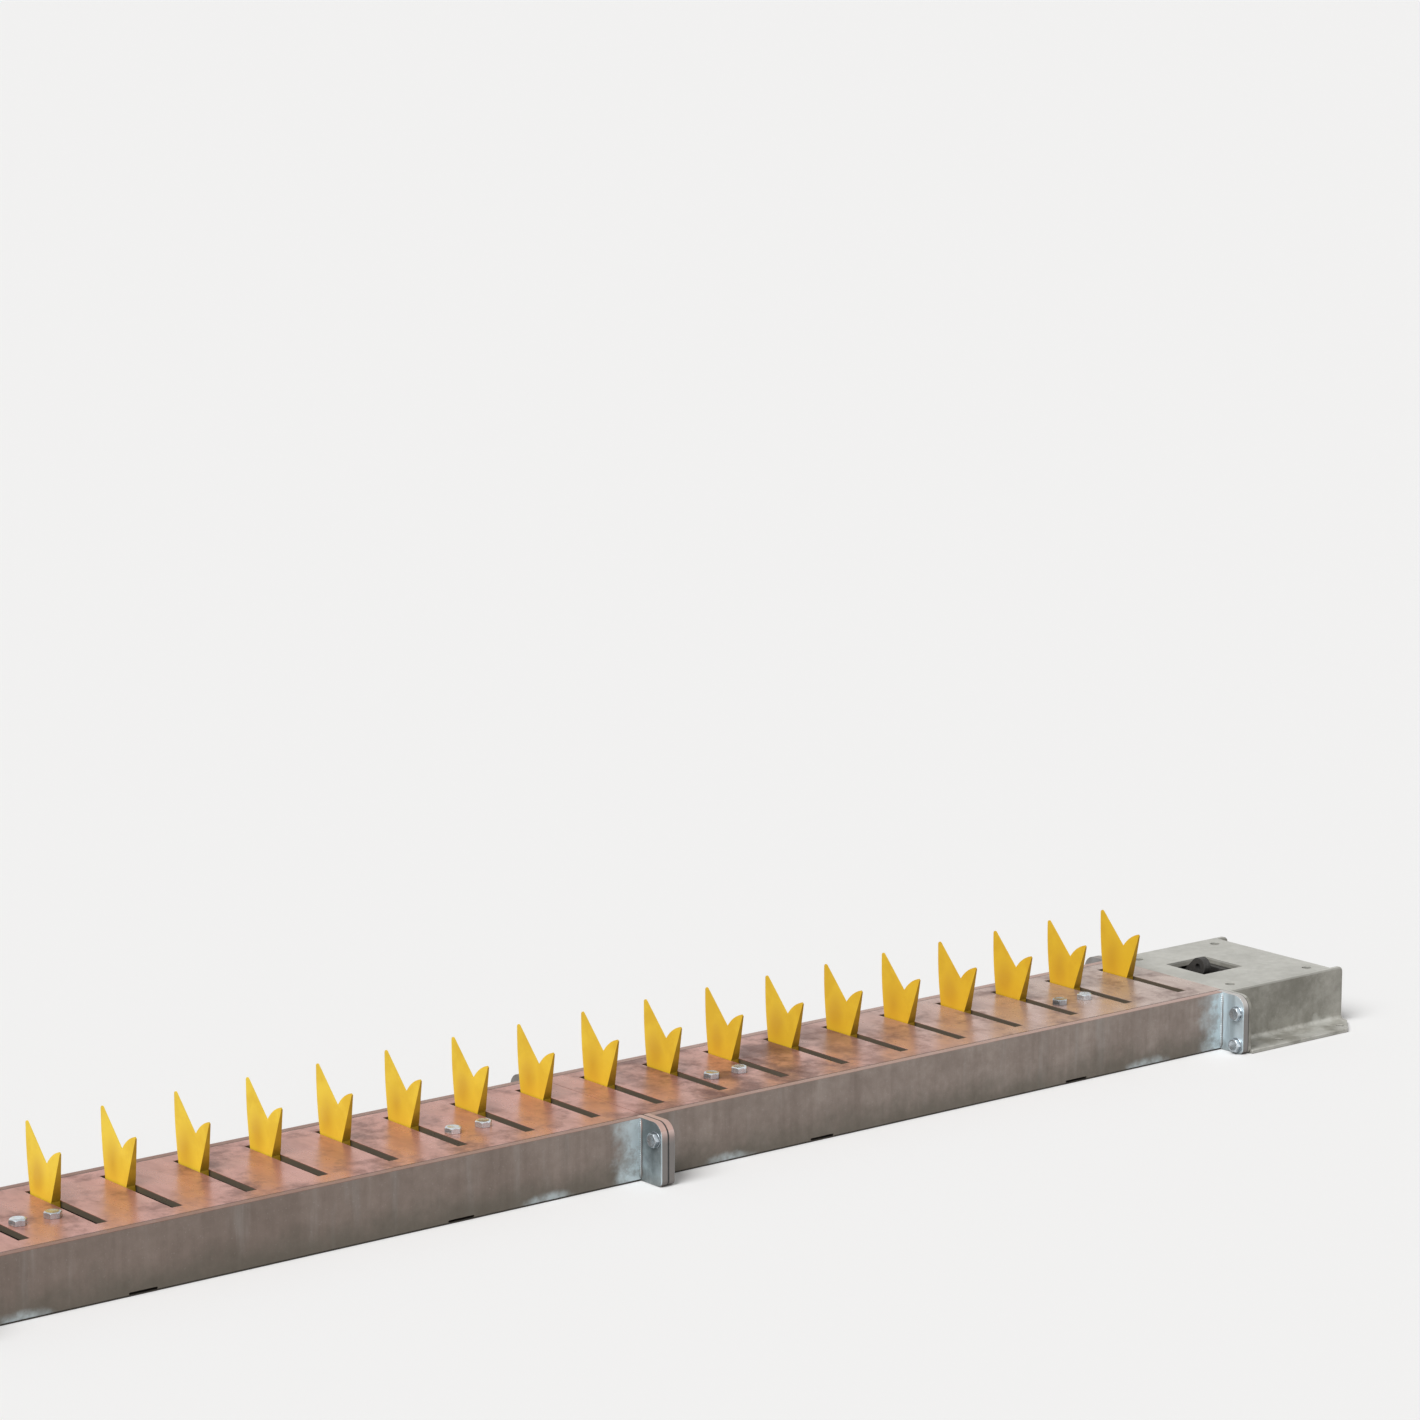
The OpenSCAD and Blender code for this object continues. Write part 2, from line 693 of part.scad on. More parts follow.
// The space of each torsion spring, round its spike's sleeve
module return_springs() {
    color("dimgray") for (i = [1:spike_count()]) difference() {
        shaft_bar(spike_x(i) + spring_x, collar_x - spring_x, spring_in_r + spring_wire);
        shaft_bar(spike_x(i), collar_x + CUT, spring_in_r);
    }
}

// A ring on the shaft that keeps each spike from sliding to the left
module retaining_rings() {
    color("silver") for (i = [1:spike_count()]) difference() {
        shaft_bar(ring_x(i), ring_t, shaft_r + ring_h);
        shaft_bar(ring_x(i) - CUT, ring_t + 2 * CUT, bore_r);
    }
}

function ring_x(i) = spike_x(i) - blade_t / 2 - sleeve_left - ring_gap - ring_t;

// Corners of a spike, forward and up from the shaft's axis, with forward negative
notch_point = [-notch_forward, shaft_drop + notch_h];
// The heel's tip is cut off by this much, back from its front edge and down from its top
HEEL_CORNER = [1.3, 2];
heel_point = [-heel_reach + HEEL_CORNER[0], shaft_drop + heel_h];
heel_front_point = [-heel_reach, shaft_drop + heel_h - HEEL_CORNER[1]];
tip_centre = [back_reach - tip_r, tip_radius_from_shaft - tip_r];
BACK_STEPS = 8;
HEEL_STEPS = 12;
TIP_STEPS = 12;
// Share of the tip's height at which the back edge is upright
BACK_UPRIGHT = 0.86;

function angle_of(v) = atan2(v[1], v[0]);
// The tall flank runs from the notch to the tip's round end, just touching it
tall_flank_angle = angle_of(tip_centre - notch_point) + asin(tip_r / norm(tip_centre - notch_point));
heel_flank_angle = angle_of(notch_point - heel_point);

// The back edge leans back in a parabola and ends upright
function back_edge() = [
    for (k = [BACK_STEPS:-1:0])
        let (t = k / BACK_STEPS)
            [blade_back + (back_reach - blade_back) * (1 - pow(1 - t, 2)),
             shaft_drop + BACK_UPRIGHT * tip_h * t]
];

// The heel's upper edge is an arc over the chord from heel to notch
function heel_edge() =
    let (chord = notch_point - heel_point, half = norm(chord) / 2,
         radius = (half * half + heel_bulge * heel_bulge) / (2 * heel_bulge),
         along = chord / norm(chord), up = [-along[1], along[0]],
         centre = heel_point + half * along + (heel_bulge - radius) * up)
    [
        for (k = [0:HEEL_STEPS])
            let (a = asin(half / radius) * (2 * k / HEEL_STEPS - 1))
                centre + radius * (sin(a) * along + cos(a) * up)
    ];

// The tip's round end, from the tall flank over to the back
function tip_edge() = [
    for (k = [0:TIP_STEPS])
        let (a = (tall_flank_angle + 90) * (1 - k / TIP_STEPS))
            tip_centre + tip_r * [cos(a), sin(a)]
];

module spike_outline() {
    polygon(concat(
        [[-blade_hub_r, 0], [-blade_front, shaft_drop], heel_front_point],
        heel_edge(), tip_edge(), back_edge(), [[blade_hub_r, 0]]
    ));
    circle(blade_hub_r);
}

// The bevel's two slopes start a little above the notch, so that they cross beside its corner
BEVEL_START = [0.05, 0.3];

// Everything to the right of a slope that starts at a flank and rises away from it
module bevel_side(flank_angle) {
    slope = (blade_t - edge_land) / bevel_w;
    low = edge_land - blade_t / 2;
    translate(notch_point + BEVEL_START) rotate(flank_angle) rotate([90, 0, 90])
        linear_extrude(2 * FAR, center = true)
            polygon([[-FAR, low + slope * FAR], [FAR, low - slope * FAR], [FAR, low + slope * FAR]]);
}

// Ground away on the right side along both flanks, down to the edge's land
module bevel() {
    intersection() {
        bevel_side(tall_flank_angle);
        bevel_side(heel_flank_angle);
        translate([-FAR, -FAR, edge_land - blade_t / 2]) cube([2 * FAR, 2 * FAR, FAR]);
    }
}

// A spike: its plate, the sleeve that turns on the shaft and the sleeve's tooth
module spike(i) {
    color("gold") difference() {
        union() {
            translate([spike_x(i), shaft_back, shaft_z]) rotate([90, 0, 90]) difference() {
                linear_extrude(blade_t, center = true) spike_outline();
                bevel();
            }
            shaft_bar(spike_x(i) - blade_t / 2 - sleeve_left, blade_t + sleeve_left + sleeve_right - blade_t / 2,
                sleeve_d / 2);
            tooth(spike_x(i) + sleeve_right - CUT, tooth_len + CUT, tooth_r, TOOTH_FROM, tooth_angle);
        }
        shaft_bar(spike_x(i) - spike_pitch / 2, spike_pitch, bore_r);
    }
}

rail(0, -1);  // front_rail_left
rail(1, -1);  // front_rail_right
rail(0, 1);  // back_rail_left
rail(1, 1);  // back_rail_right
section_flange(section_x(0), [section_bolt_z], joint_thread_r);  // left_end_flange
section_flange(section_x(1) - flange_t, [section_bolt_z], joint_hole_r);  // middle_flange_left
section_flange(section_x(1), [section_bolt_z], joint_thread_r);  // middle_flange_right
section_flange(base_x - flange_t, [drive_bolt_low_z, drive_bolt_high_z], joint_hole_r);  // drive_end_flange
cover(0);  // cover_left
cover(1);  // cover_right
cross_members();
shaft_bushes();
cover_bolts();
joint_bolts();
joint_washers();
anchor_lugs();
base_front_wall();
base_back_wall();
base_end_plate();
base_top_plate();
base_outer_wall();
bearing_brackets();
shaft_left();
shaft_right();
crank_shaft();
crank_lever();
coupling_hubs();
coupling_pins();
stop_collars();
collar_pins();
return_springs();
retaining_rings();
spike(1);  // spike_01
spike(2);  // spike_02
spike(3);  // spike_03
spike(4);  // spike_04
spike(5);  // spike_05
spike(6);  // spike_06
spike(7);  // spike_07
spike(8);  // spike_08
spike(9);  // spike_09
spike(10);  // spike_10
spike(11);  // spike_11
spike(12);  // spike_12
spike(13);  // spike_13
spike(14);  // spike_14
spike(15);  // spike_15
spike(16);  // spike_16
spike(17);  // spike_17
spike(18);  // spike_18
spike(19);  // spike_19
spike(20);  // spike_20
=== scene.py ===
"""A road strip of folding tyre spikes: its worn zinc, paint, bolts, springs and weld beads.

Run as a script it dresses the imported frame. Its panel in the sidebar lists the same steps.
Lengths are in metres, +X runs along the strip to its drive base, +Y to its back, +Z up.
"""

import math

import bmesh
import bpy
import numpy as np
from bpy.props import FloatProperty, FloatVectorProperty, IntProperty, PointerProperty
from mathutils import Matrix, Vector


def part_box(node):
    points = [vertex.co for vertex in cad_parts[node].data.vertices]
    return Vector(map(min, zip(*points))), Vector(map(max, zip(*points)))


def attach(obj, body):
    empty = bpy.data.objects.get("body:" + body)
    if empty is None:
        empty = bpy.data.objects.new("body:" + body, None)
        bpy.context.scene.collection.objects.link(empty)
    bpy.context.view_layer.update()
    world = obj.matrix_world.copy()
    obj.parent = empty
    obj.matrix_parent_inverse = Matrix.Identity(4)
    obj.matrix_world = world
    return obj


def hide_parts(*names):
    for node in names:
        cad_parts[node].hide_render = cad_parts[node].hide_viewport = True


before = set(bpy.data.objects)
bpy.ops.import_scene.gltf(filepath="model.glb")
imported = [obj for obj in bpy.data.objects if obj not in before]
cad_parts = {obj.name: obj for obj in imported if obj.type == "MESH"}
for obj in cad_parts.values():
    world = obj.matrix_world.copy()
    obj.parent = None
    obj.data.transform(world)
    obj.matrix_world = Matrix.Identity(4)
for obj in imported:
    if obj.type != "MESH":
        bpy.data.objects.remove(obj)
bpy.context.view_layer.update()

bl_info = {
    "name": "Tyre spike strip",
    "version": (1, 0, 0),
    "blender": (4, 5, 0),
    "location": "View3D > Sidebar > Spike strip",
    "description": "Builds the finished pieces and materials of a folding tyre spike strip",
    "category": "Add Mesh",
}

# Places along the strip, as the frame has them
STRIP_LEFT = -1.113
SECTION = 1.0
SECTIONS = 2
BASE_LEFT = STRIP_LEFT + SECTIONS * SECTION
FLANGE = 0.010
RAIL_FACE = 0.115
STRIP_TOP = 0.080
MEMBER_OFFSET = 0.300
LUG_OFFSET = 0.360
SPOT_SHIFT = 0.012
SHAFT_Y = 0.0457
SHAFT_Z = 0.046
SPIKE_PITCH = 0.100
SPIKES = [f"spike_{i:02d}" for i in range(1, 21)]

# Bolts: a pair about each cross member, and those in the ears at the middle joint and the drive
COVER_BOLTS_X = -0.005
COVER_BOLTS_APART = 0.045
COVER_BOLTS_Y = -0.025
EAR_BOLTS_Y = 0.145
JOINT_BOLTS_Z = (0.059,)
DRIVE_BOLTS_Z = (0.012, 0.056)
DRIVE_GRIP = 0.015

# Where finishes change colour: heights, distances from the middle plane, half the width of the
# black line painted as shade in the crack between two flanges, and the middle of the dark
# reflection painted on a raised spike
# Top of the contact shadow painted along the rails' foot
FOOT_SHADOW_TOP = 0.0018
# Height above which the drive base's top takes a painted highlight
BASE_HIGHLIGHT_HEIGHT = 0.0770
COVER_FACE = 0.0793
# Height above which the rails' tops take their partly painted reddish light
RAIL_RIM_GLOW_HEIGHT = 0.0794
# Start of the shade painted along the seam between cover and rails
SEAM_SHADE_Y = 0.1026
EAR_END_Y = 0.1549
CRACK_SHADE_HALF = 0.0012
DARK_REFLECTION_SPOT = (0, 0.054, 0.101)

# Distances within which vertices merge, and angles in degrees: faces join below the first,
# edges are rounded above the second, and the shading breaks above the last two
MERGE = 1e-6
NODE_MERGE = 2e-6
FLAT_BELOW = 0.3
BEVEL_ABOVE = 33
SHARP_MADE = 32
SHARP_PLATE = 12

# A weld bead's bulge over its legs, and its distance from a rail's edges
BEAD_BULGE = 0.42
BEAD_END = 0.002

# Linear colours of small marks, of oil, of the black for dark clouds and for shade painted in
# cracks, and of the sky
STREAK = (0.42, 0.40, 0.38, 1)
SPECK = (0.8, 0.8, 0.78, 1)
FLECK = (0.72, 0.66, 0.62, 1)
OIL = (0.03, 0.028, 0.025, 1)
BLACK = (0.02, 0.018, 0.016, 1)
SKY = (1.0, 0.985, 0.965, 1)

# The camera, with its turn in degrees, and the floor
CAMERA_PLACE = (-3.33646, -4.28508, 1.57603)
CAMERA_TURN = (79.366, 0, -38.539)
FLOOR_HALF = 150.0
FLOOR_DROP = 0.0004


def linear(red, green, blue):
    """A screen colour from 0 to 255 as the linear colour with alpha that shaders use."""
    parts = np.array([red, green, blue]) / 255
    curve = np.where(parts <= 0.04045, parts / 12.92, ((parts + 0.055) / 1.055) ** 2.4)
    return (*[float(v) for v in curve], 1.0)


def colour(name, about, red, green, blue):
    """A colour property, given as a screen colour."""
    return FloatVectorProperty(
        name=name, description=about, subtype="COLOR", size=4, min=0, max=1,
        default=linear(red, green, blue),
    )


def length(name, about, metres):
    """A length property."""
    return FloatProperty(name=name, description=about, default=metres, min=0, unit="LENGTH", precision=5)


class SpikeStripEdges(bpy.types.PropertyGroup):
    """How far the edges of the plates are rounded."""

    rail: length("Rails", "Rounding of the side rails' edges", 0.0010)
    cover: length("Covers", "Rounding of the covers' edges and slots", 0.0006)
    flange: length("Flanges", "Rounding of the flanges' edges", 0.0013)
    base: length("Base", "Rounding of the drive base's edges", 0.0008)
    spike: length("Spikes", "Rounding of the spikes' edges", 0.0005)
    inner: length("Inner parts", "Rounding of the parts under the cover", 0.0006)


class SpikeStripHardware(bpy.types.PropertyGroup):
    """Sizes of the bolts, washers, springs and weld beads."""

    cover_thread: length("Cover bolt thread", "Thread diameter of a cover bolt", 0.012)
    cover_flats: length("Cover bolt flats", "Width across the flats of a cover bolt", 0.019)
    cover_head: length("Cover bolt head", "Height of a cover bolt's head", 0.0075)
    cover_shank: length("Cover bolt shank", "Length of a cover bolt below its head", 0.024)
    joint_flats: length("Joint bolt flats", "Width across the flats of a joint bolt", 0.017)
    joint_head: length("Joint bolt head", "Height of a joint bolt's head", 0.0064)
    joint_thread: length("Joint thread", "Thread diameter of a joint bolt", 0.010)
    thread_out: length("Thread out", "How far the thread stands out of its plate", 0.0016)
    thread_pitch: length("Thread pitch", "Pitch of the joint bolts' thread", 0.0015)
    washer: length("Washer", "Outer diameter of a washer", 0.020)
    washer_thick: length("Washer thickness", "Thickness of a washer", 0.002)
    spring_wire: length("Spring wire", "Wire diameter of a return spring", 0.003)
    spring_turns: IntProperty(name="Spring turns", description="Turns of a spring", default=5, min=2)
    bead_leg: length("Weld leg", "Leg of a weld bead between rail and flange", 0.0040)
    bead_ripple: length("Weld ripple", "Distance between the ripples of a weld bead", 0.0026)


class SpikeStripColours(bpy.types.PropertyGroup):
    """Colours of the finishes; a second one at the drive end is where the first drifts to."""

    rail: colour("Rail", "Old zinc of the side rails, far from the drive", 146, 131, 122)
    rail_far: colour("Rail, drive end", "Old zinc of the side rails beside the drive", 172, 159, 151)
    rail_dark: colour("Rail, dark", "Blotches on the rails, and the back ears", 118, 104, 95)
    rail_foot: colour("Rail foot", "Greenish dirt low on the rails", 96, 92, 81)
    # Painted contact shadow: a dark band along the rails' lowest edge
    rail_foot_shadow: colour("Rail foot shadow", "Damp lowest edge of the rails", 52, 46, 40)
    # Partly painted light: the reddish glow on the rails' top faces, darkened as the shade on the far
    # rim; partly real wear
    rail_rim_wear_and_glow: colour("Rail rim", "Rim of the rails beside the cover", 140, 108, 96)
    rail_rim_far: colour("Rail rim, drive end", "Worn rim of the rails by the drive", 178, 150, 140)
    spray: colour("Zinc spray", "Fresh zinc beside the welds", 224, 240, 246)
    flange: colour("Flange", "Zinc of the flanges and their ears", 180, 193, 198)
    flange_far: colour("Flange, drive end", "Fresher zinc of the flanges at the drive", 212, 226, 233)
    flange_dark: colour("Flange, dark", "Dull cloud on the flanges", 98, 106, 108)
    # Painted light: the reddish glow that the flanges' tops catch
    flange_rim_glow: colour("Flange rim", "Worn top of the flanges", 200, 164, 152)
    flange_rim_far: colour("Flange rim, drive end", "Greyer top of the drive's flanges", 186, 178, 172)
    flange_front: colour("Flange front", "Brown narrow front of the ears", 116, 103, 96)
    # The rosy tint is partly a painted red glow on the tops, strongest towards the free end and greyer
    # by the drive; under it the covers are brown
    cover: colour("Cover", "Rosy brown of the covers, far from the drive", 196, 138, 124)
    cover_far: colour("Cover, drive end", "Greyer brown of the covers beside the drive", 184, 164, 152)
    cover_dark: colour("Cover stain", "Scuffs and stains on the covers", 88, 54, 46)
    cover_warm: colour("Cover, warm", "Orange clouds on the covers", 180, 128, 98)
    slot: colour("Slot walls", "Walls of the covers' slots", 118, 108, 94)
    # Painted shade: the darker band along the seam between cover and rails
    seam: colour("Seam", "Dirt in the seam between cover and rails", 84, 58, 50)
    spike: colour("Spike paint", "Golden yellow of the spikes, far from the drive", 250, 220, 64)
    # Painted shade: the spikes darken towards the drive as the light on them falls off
    spike_far_shade: colour("Spike paint, shaded drive end", "Deeper yellow by the drive", 230, 188, 38)
    # Darker tone of the paint, for clouds, rubbed marks, towards the base, and for the painted dark
    # reflection
    spike_dark: colour("Spike shade", "Browned paint low on the spikes", 196, 138, 26)
    # Painted shade: the colour of the spikes' faces that look forward
    spike_front_shade: colour("Spike front", "Grimy narrow front of the spikes", 150, 112, 14)
    base: colour("Drive base", "Greenish grey of the drive base", 176, 174, 166)
    base_dark: colour("Drive base, dark", "Dark clouds on the drive base", 116, 114, 104)
    # Painted highlight: the foot lip and top of the drive base are lighter where they catch more light
    base_highlight: colour("Drive base, highlight", "Rubbed foot and top edge of the drive base", 206, 206, 200)
    bolt: colour("Bolts", "Bright zinc of the bolts", 222, 230, 236)
    bolt_dark: colour("Bolts, dark", "Dull spots on the bolts", 118, 124, 130)
    inner: colour("Inner steel", "Dark primer of the parts under the cover", 62, 60, 58)
    shaft: colour("Shaft", "Oiled bar of the shaft", 120, 116, 110)
    spring: colour("Spring", "Black spring steel", 46, 46, 48)
    bronze: colour("Bronze", "Bushes of bearing bronze", 168, 130, 76)


class SpikeStripStage(bpy.types.PropertyGroup):
    """The floor, the lamps and the camera."""

    ground: colour("Floor", "Pale floor and background", 243, 243, 243)
    bounce: colour("Floor bounce", "Floor as the object's undersides see it", 132, 126, 120)
    key: FloatProperty(name="Key", description="Share of light from the key lamp", default=0.85)
    fill: FloatProperty(name="Fill", description="Share of light from the fill lamp", default=0.14)
    sky: FloatProperty(name="Sky", description="Share of light from all round", default=0.30)
    lens: FloatProperty(
        name="Lens", description="Focal length of the camera", default=0.112848,
        unit="CAMERA", precision=6,
    )


# Surfaces from arrays


def grid_mesh(points, close_rows=False, close_columns=False):
    """Vertices and quads of a grid of points; a closed direction joins its last line to its first."""
    rows, columns = points.shape[:2]
    r = np.arange(rows if close_rows else rows - 1)[:, None]
    c = np.arange(columns if close_columns else columns - 1)[None, :]
    r2, c2 = (r + 1) % rows, (c + 1) % columns
    corners = [r * columns + c, r * columns + c2, r2 * columns + c2, r2 * columns + c]
    faces = np.stack([np.broadcast_to(a, (r.size, c.size)) for a in corners], -1).reshape(-1, 4)
    return points.reshape(-1, 3), faces


def capped(rows, first, last):
    """A surface through rings of points, drawn together in one point at each end."""
    tips = [np.broadcast_to(tip, rows[:1].shape) for tip in (first, last)]
    return grid_mesh(np.concatenate([tips[0], rows, tips[1]]), close_columns=True)


def put_together(shapes):
    """Several (vertices, quads) as one."""
    starts = np.cumsum([0] + [len(v) for v, _ in shapes[:-1]])
    return (
        np.concatenate([v for v, _ in shapes]),
        np.concatenate([f + s for (_, f), s in zip(shapes, starts)]),
    )


def new_piece(name, shape, material, body):
    """A piece from vertices and quads: doubles merged, faces turned outwards and sharp edges marked."""
    vertices, faces = shape
    mesh = bpy.data.meshes.new(name)
    mesh.from_pydata(vertices.tolist(), [], faces.tolist())
    work = bmesh.new()
    work.from_mesh(mesh)
    bmesh.ops.remove_doubles(work, verts=work.verts, dist=MERGE)
    bmesh.ops.dissolve_degenerate(work, edges=work.edges, dist=MERGE)
    bmesh.ops.recalc_face_normals(work, faces=work.faces)
    work.to_mesh(mesh)
    work.free()
    return finish_piece(name, mesh, material, body, SHARP_MADE)


def finish_piece(name, mesh, material, body, sharp):
    """Smooths and paints a mesh, and lets its object ride on a body."""
    mesh.polygons.foreach_set("use_smooth", np.ones(len(mesh.polygons), bool))
    mesh.set_sharp_from_angle(angle=math.radians(sharp))
    mesh.materials.clear()
    mesh.materials.append(material)
    piece = bpy.data.objects.new(name, mesh)
    bpy.context.scene.collection.objects.link(piece)
    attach(piece, body)
    return piece


def softened(node, radius, material, body):
    """A copy of a node with its triangles joined to flat faces and its edges rounded."""
    name = node + "_finished"
    work = bmesh.new()
    work.from_mesh(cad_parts[node].data)
    bmesh.ops.remove_doubles(work, verts=work.verts, dist=NODE_MERGE)
    flat = math.radians(FLAT_BELOW)
    bmesh.ops.dissolve_limit(work, angle_limit=flat, verts=work.verts, edges=work.edges)
    mesh = bpy.data.meshes.new(name)
    work.to_mesh(mesh)
    work.free()
    for attribute in [a for a in mesh.attributes if a.name == "custom_normal"]:
        mesh.attributes.remove(attribute)
    piece = finish_piece(name, mesh, material, body, SHARP_PLATE)
    edges = piece.modifiers.new("Rounded edges", "BEVEL")
    edges.width = radius
    edges.segments = 2
    edges.limit_method = "ANGLE"
    edges.angle_limit = math.radians(BEVEL_ABOVE)
    weights = piece.modifiers.new("Even shading", "WEIGHTED_NORMAL")
    weights.keep_sharp = True
    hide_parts(node)
    return piece


def paint_node(node, material):
    """Gives a node of the frame its material."""
    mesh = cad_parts[node].data
    if not mesh.materials:
        mesh.materials.append(material)
    for i in range(len(mesh.materials)):
        mesh.materials[i] = material


def around(along, radius, angle):
    """Points at the given distances along X, at the given radii and angles about it."""
    return np.stack(np.broadcast_arrays(along, radius * np.cos(angle), radius * np.sin(angle)), -1)


def turned(profile, sides, flats=None, closed=False):
    """A profile of (along, radius) points carried round the X axis.

    Closed joins its end to its start. With flats no point lies outside a hexagon: the radius is
    at most flats / 2 / cos(angle from the middle of the flat), so a cone cuts rounded corners.
    """
    angle = np.linspace(0, 2 * np.pi, sides, endpoint=False)[None, :]
    radius = profile[:, 1:]
    if flats:
        radius = np.minimum(radius, flats / 2 / np.cos(np.mod(angle, np.pi / 3) - np.pi / 6))
    return grid_mesh(around(profile[:, :1], radius, angle), close_rows=closed, close_columns=True)


def head_profile(height, flats):
    """From the washer face up over a 30 degree chamfer to the slightly dished top, along X."""
    top, face, step, dish = 0.46 * flats, 0.475 * flats, 0.0004, 0.0003
    corner = flats / 2 / math.cos(math.pi / 6)
    chamfer = (corner - top) * math.tan(math.radians(30))
    cone = np.linspace(0, 1, 5)[:, None]
    return np.concatenate([
        [[0, 0], [0, face], [step, face], [step, corner]],
        np.array([height - chamfer, corner]) + cone * np.array([chamfer, top - corner]),
        [[height, 0.8 * top], [height - dish, 0.72 * top], [height - dish, 0]],
    ])


def threaded_end(radius, pitch, reach, sides=40, rows_a_turn=10):
    """A thread on a bar's end: a triangle wave cut along the helix, with a cone at the start."""
    depth, cone = 0.55 * pitch, 0.6 * pitch
    along = np.linspace(0, reach, int(reach / pitch * rows_a_turn))[:, None]
    angle = np.linspace(0, 2 * np.pi, sides, endpoint=False)[None, :]
    wave = np.abs(np.mod(along / pitch - angle / (2 * np.pi), 1) * 2 - 1)
    cut = np.minimum(radius - depth * wave, radius - cone + along)
    return capped(around(along, cut, angle), (0, 0, 0), (reach, 0, 0))


def coil(turns, wire, radius, rings=28, sides=9):
    """Round wire along a helix about the shaft, where each turn all but touches its neighbour.

    The centre line is (x(t), r cos t, r sin t), where x climbs one wire a turn.
    """
    turn = np.linspace(0, turns * 2 * np.pi, int(turns * rings) + 1)
    centre = around(wire * (0.5 + turn / (2 * np.pi)), radius, turn)
    outward = around(0.0, 1.0, turn)
    ahead = np.gradient(centre, axis=0)
    ahead /= np.linalg.norm(ahead, axis=1)[:, None]
    side = np.cross(ahead, outward)
    spin = np.linspace(0, 2 * np.pi, sides, endpoint=False)[None, :, None]
    ring = outward[:, None] * np.cos(spin) + side[:, None] * np.sin(spin)
    return capped(centre[:, None] + 0.49 * wire * ring, centre[0], centre[-1])


def weld_bead(x, leg_x, leg_y, face_y, low, high, ripple):
    """A bead up the corner between a rail's face and a flange.

    Its section runs from one leg to the other over a bulge of sin. Its size swells with |sin|
    at each ripple, wanders a little and falls to nothing at both ends.
    """
    rows_a_ripple, columns, taper, sag = 6, 9, 14, 0.0006
    up = np.linspace(low, high, int((high - low) / ripple * rows_a_ripple))[:, None]
    t = np.linspace(0, 1, columns)[None, :]
    share = (up - low) / (high - low)
    ends = np.clip(np.minimum(share, 1 - share) * taper, 0.02, 1) ** 0.5
    ripples, wander = np.abs(np.sin(np.pi * up / ripple)), np.sin(up * 310 + x * 7)
    swell = ends * (0.86 + 0.14 * ripples + 0.07 * wander)
    bulge = 1 + BEAD_BULGE * np.sin(np.pi * t)
    across = np.stack([
        x + leg_x * swell * (1 - t) * bulge,
        face_y + leg_y * swell * t * bulge,
        up + sag * np.sin(np.pi * t),
    ], -1)
    corner = np.stack([np.full_like(up, x), np.full_like(up, face_y), up], -1)
    bead = np.concatenate([across, corner], 1)
    return capped(bead, bead[0].mean(0), bead[-1].mean(0))


def moved(shape, place, turn=None):
    """A shape turned by a matrix and set in its place."""
    vertices, faces = shape
    if turn is not None:
        vertices = vertices @ np.array(turn, float).T
    return vertices + np.array(place), faces


# Matrices for shapes that are made along X
UPRIGHT = [[0, 0, -1], [0, 1, 0], [1, 0, 0]]
TURNED_ROUND = [[-1, 0, 0], [0, -1, 0], [0, 0, 1]]


def about_z(degrees):
    """A matrix that stands an X shape up along Z and turns it."""
    a = math.radians(degrees)
    spin = np.array([[math.cos(a), -math.sin(a), 0], [math.sin(a), math.cos(a), 0], [0, 0, 1]])
    return spin @ np.array(UPRIGHT, float)


# Node trees


class Sheet:
    """Places nodes in a tree and joins them."""

    def __init__(self, tree):
        self.tree = tree

    def put(self, socket, value):
        """Joins a socket to another, or sets its value."""
        if isinstance(value, bpy.types.NodeSocket):
            self.tree.links.new(value, socket)
        else:
            socket.default_value = value

    def node(self, kind, inputs=None, **settings):
        """A node with its settings and inputs."""
        made = self.tree.nodes.new("ShaderNode" + kind)
        for key, value in settings.items():
            setattr(made, key, value)
        for key, value in (inputs or {}).items():
            self.put(made.inputs[key], value)
        return made

    def math(self, operation, *values, clamp=False):
        """A Math node's result."""
        made = self.node("Math", operation=operation, use_clamp=clamp)
        for socket, value in zip(made.inputs, values):
            self.put(socket, value)
        return made.outputs[0]

    def mix(self, share, a, b):
        """One colour blended into another."""
        made = self.node("Mix", data_type="RGBA", clamp_factor=True)
        for index, value in ((0, share), (6, a), (7, b)):
            self.put(made.inputs[index], value)
        return made.outputs[2]

    def tint(self, colour, mask, amount, other):
        """A colour with an amount of another where a mask is."""
        return self.mix(self.math("MULTIPLY", mask, amount), colour, other)

    def step(self, value, low, high, start=0.0, end=1.0):
        """A smooth step of a value from start to end between two bounds."""
        entries = {"Value": value, "From Min": low, "From Max": high, "To Min": start, "To Max": end}
        return self.node("MapRange", entries, interpolation_type="SMOOTHSTEP").outputs[0]

    def noise(self, vector, scale, detail=4.0, rough=0.55, stretch=None, shift=(0.0, 0.0, 0.0)):
        """Noise of a given number of cells a metre, stretched along axes if asked."""
        if stretch is not None or any(shift):
            entries = {"Vector": vector, "Scale": stretch or (1, 1, 1), "Location": shift}
            vector = self.node("Mapping", entries).outputs[0]
        entries = {"Vector": vector, "Scale": scale, "Detail": detail, "Roughness": rough}
        return self.node("TexNoise", entries).outputs[0]

    def ragged(self, noise, span):
        """A noise brought to a given span about zero."""
        return self.math("MULTIPLY", self.math("SUBTRACT", noise, 0.5), span)

    def axes(self, vector):
        """The three parts of a vector."""
        return self.node("SeparateXYZ", {0: vector}).outputs


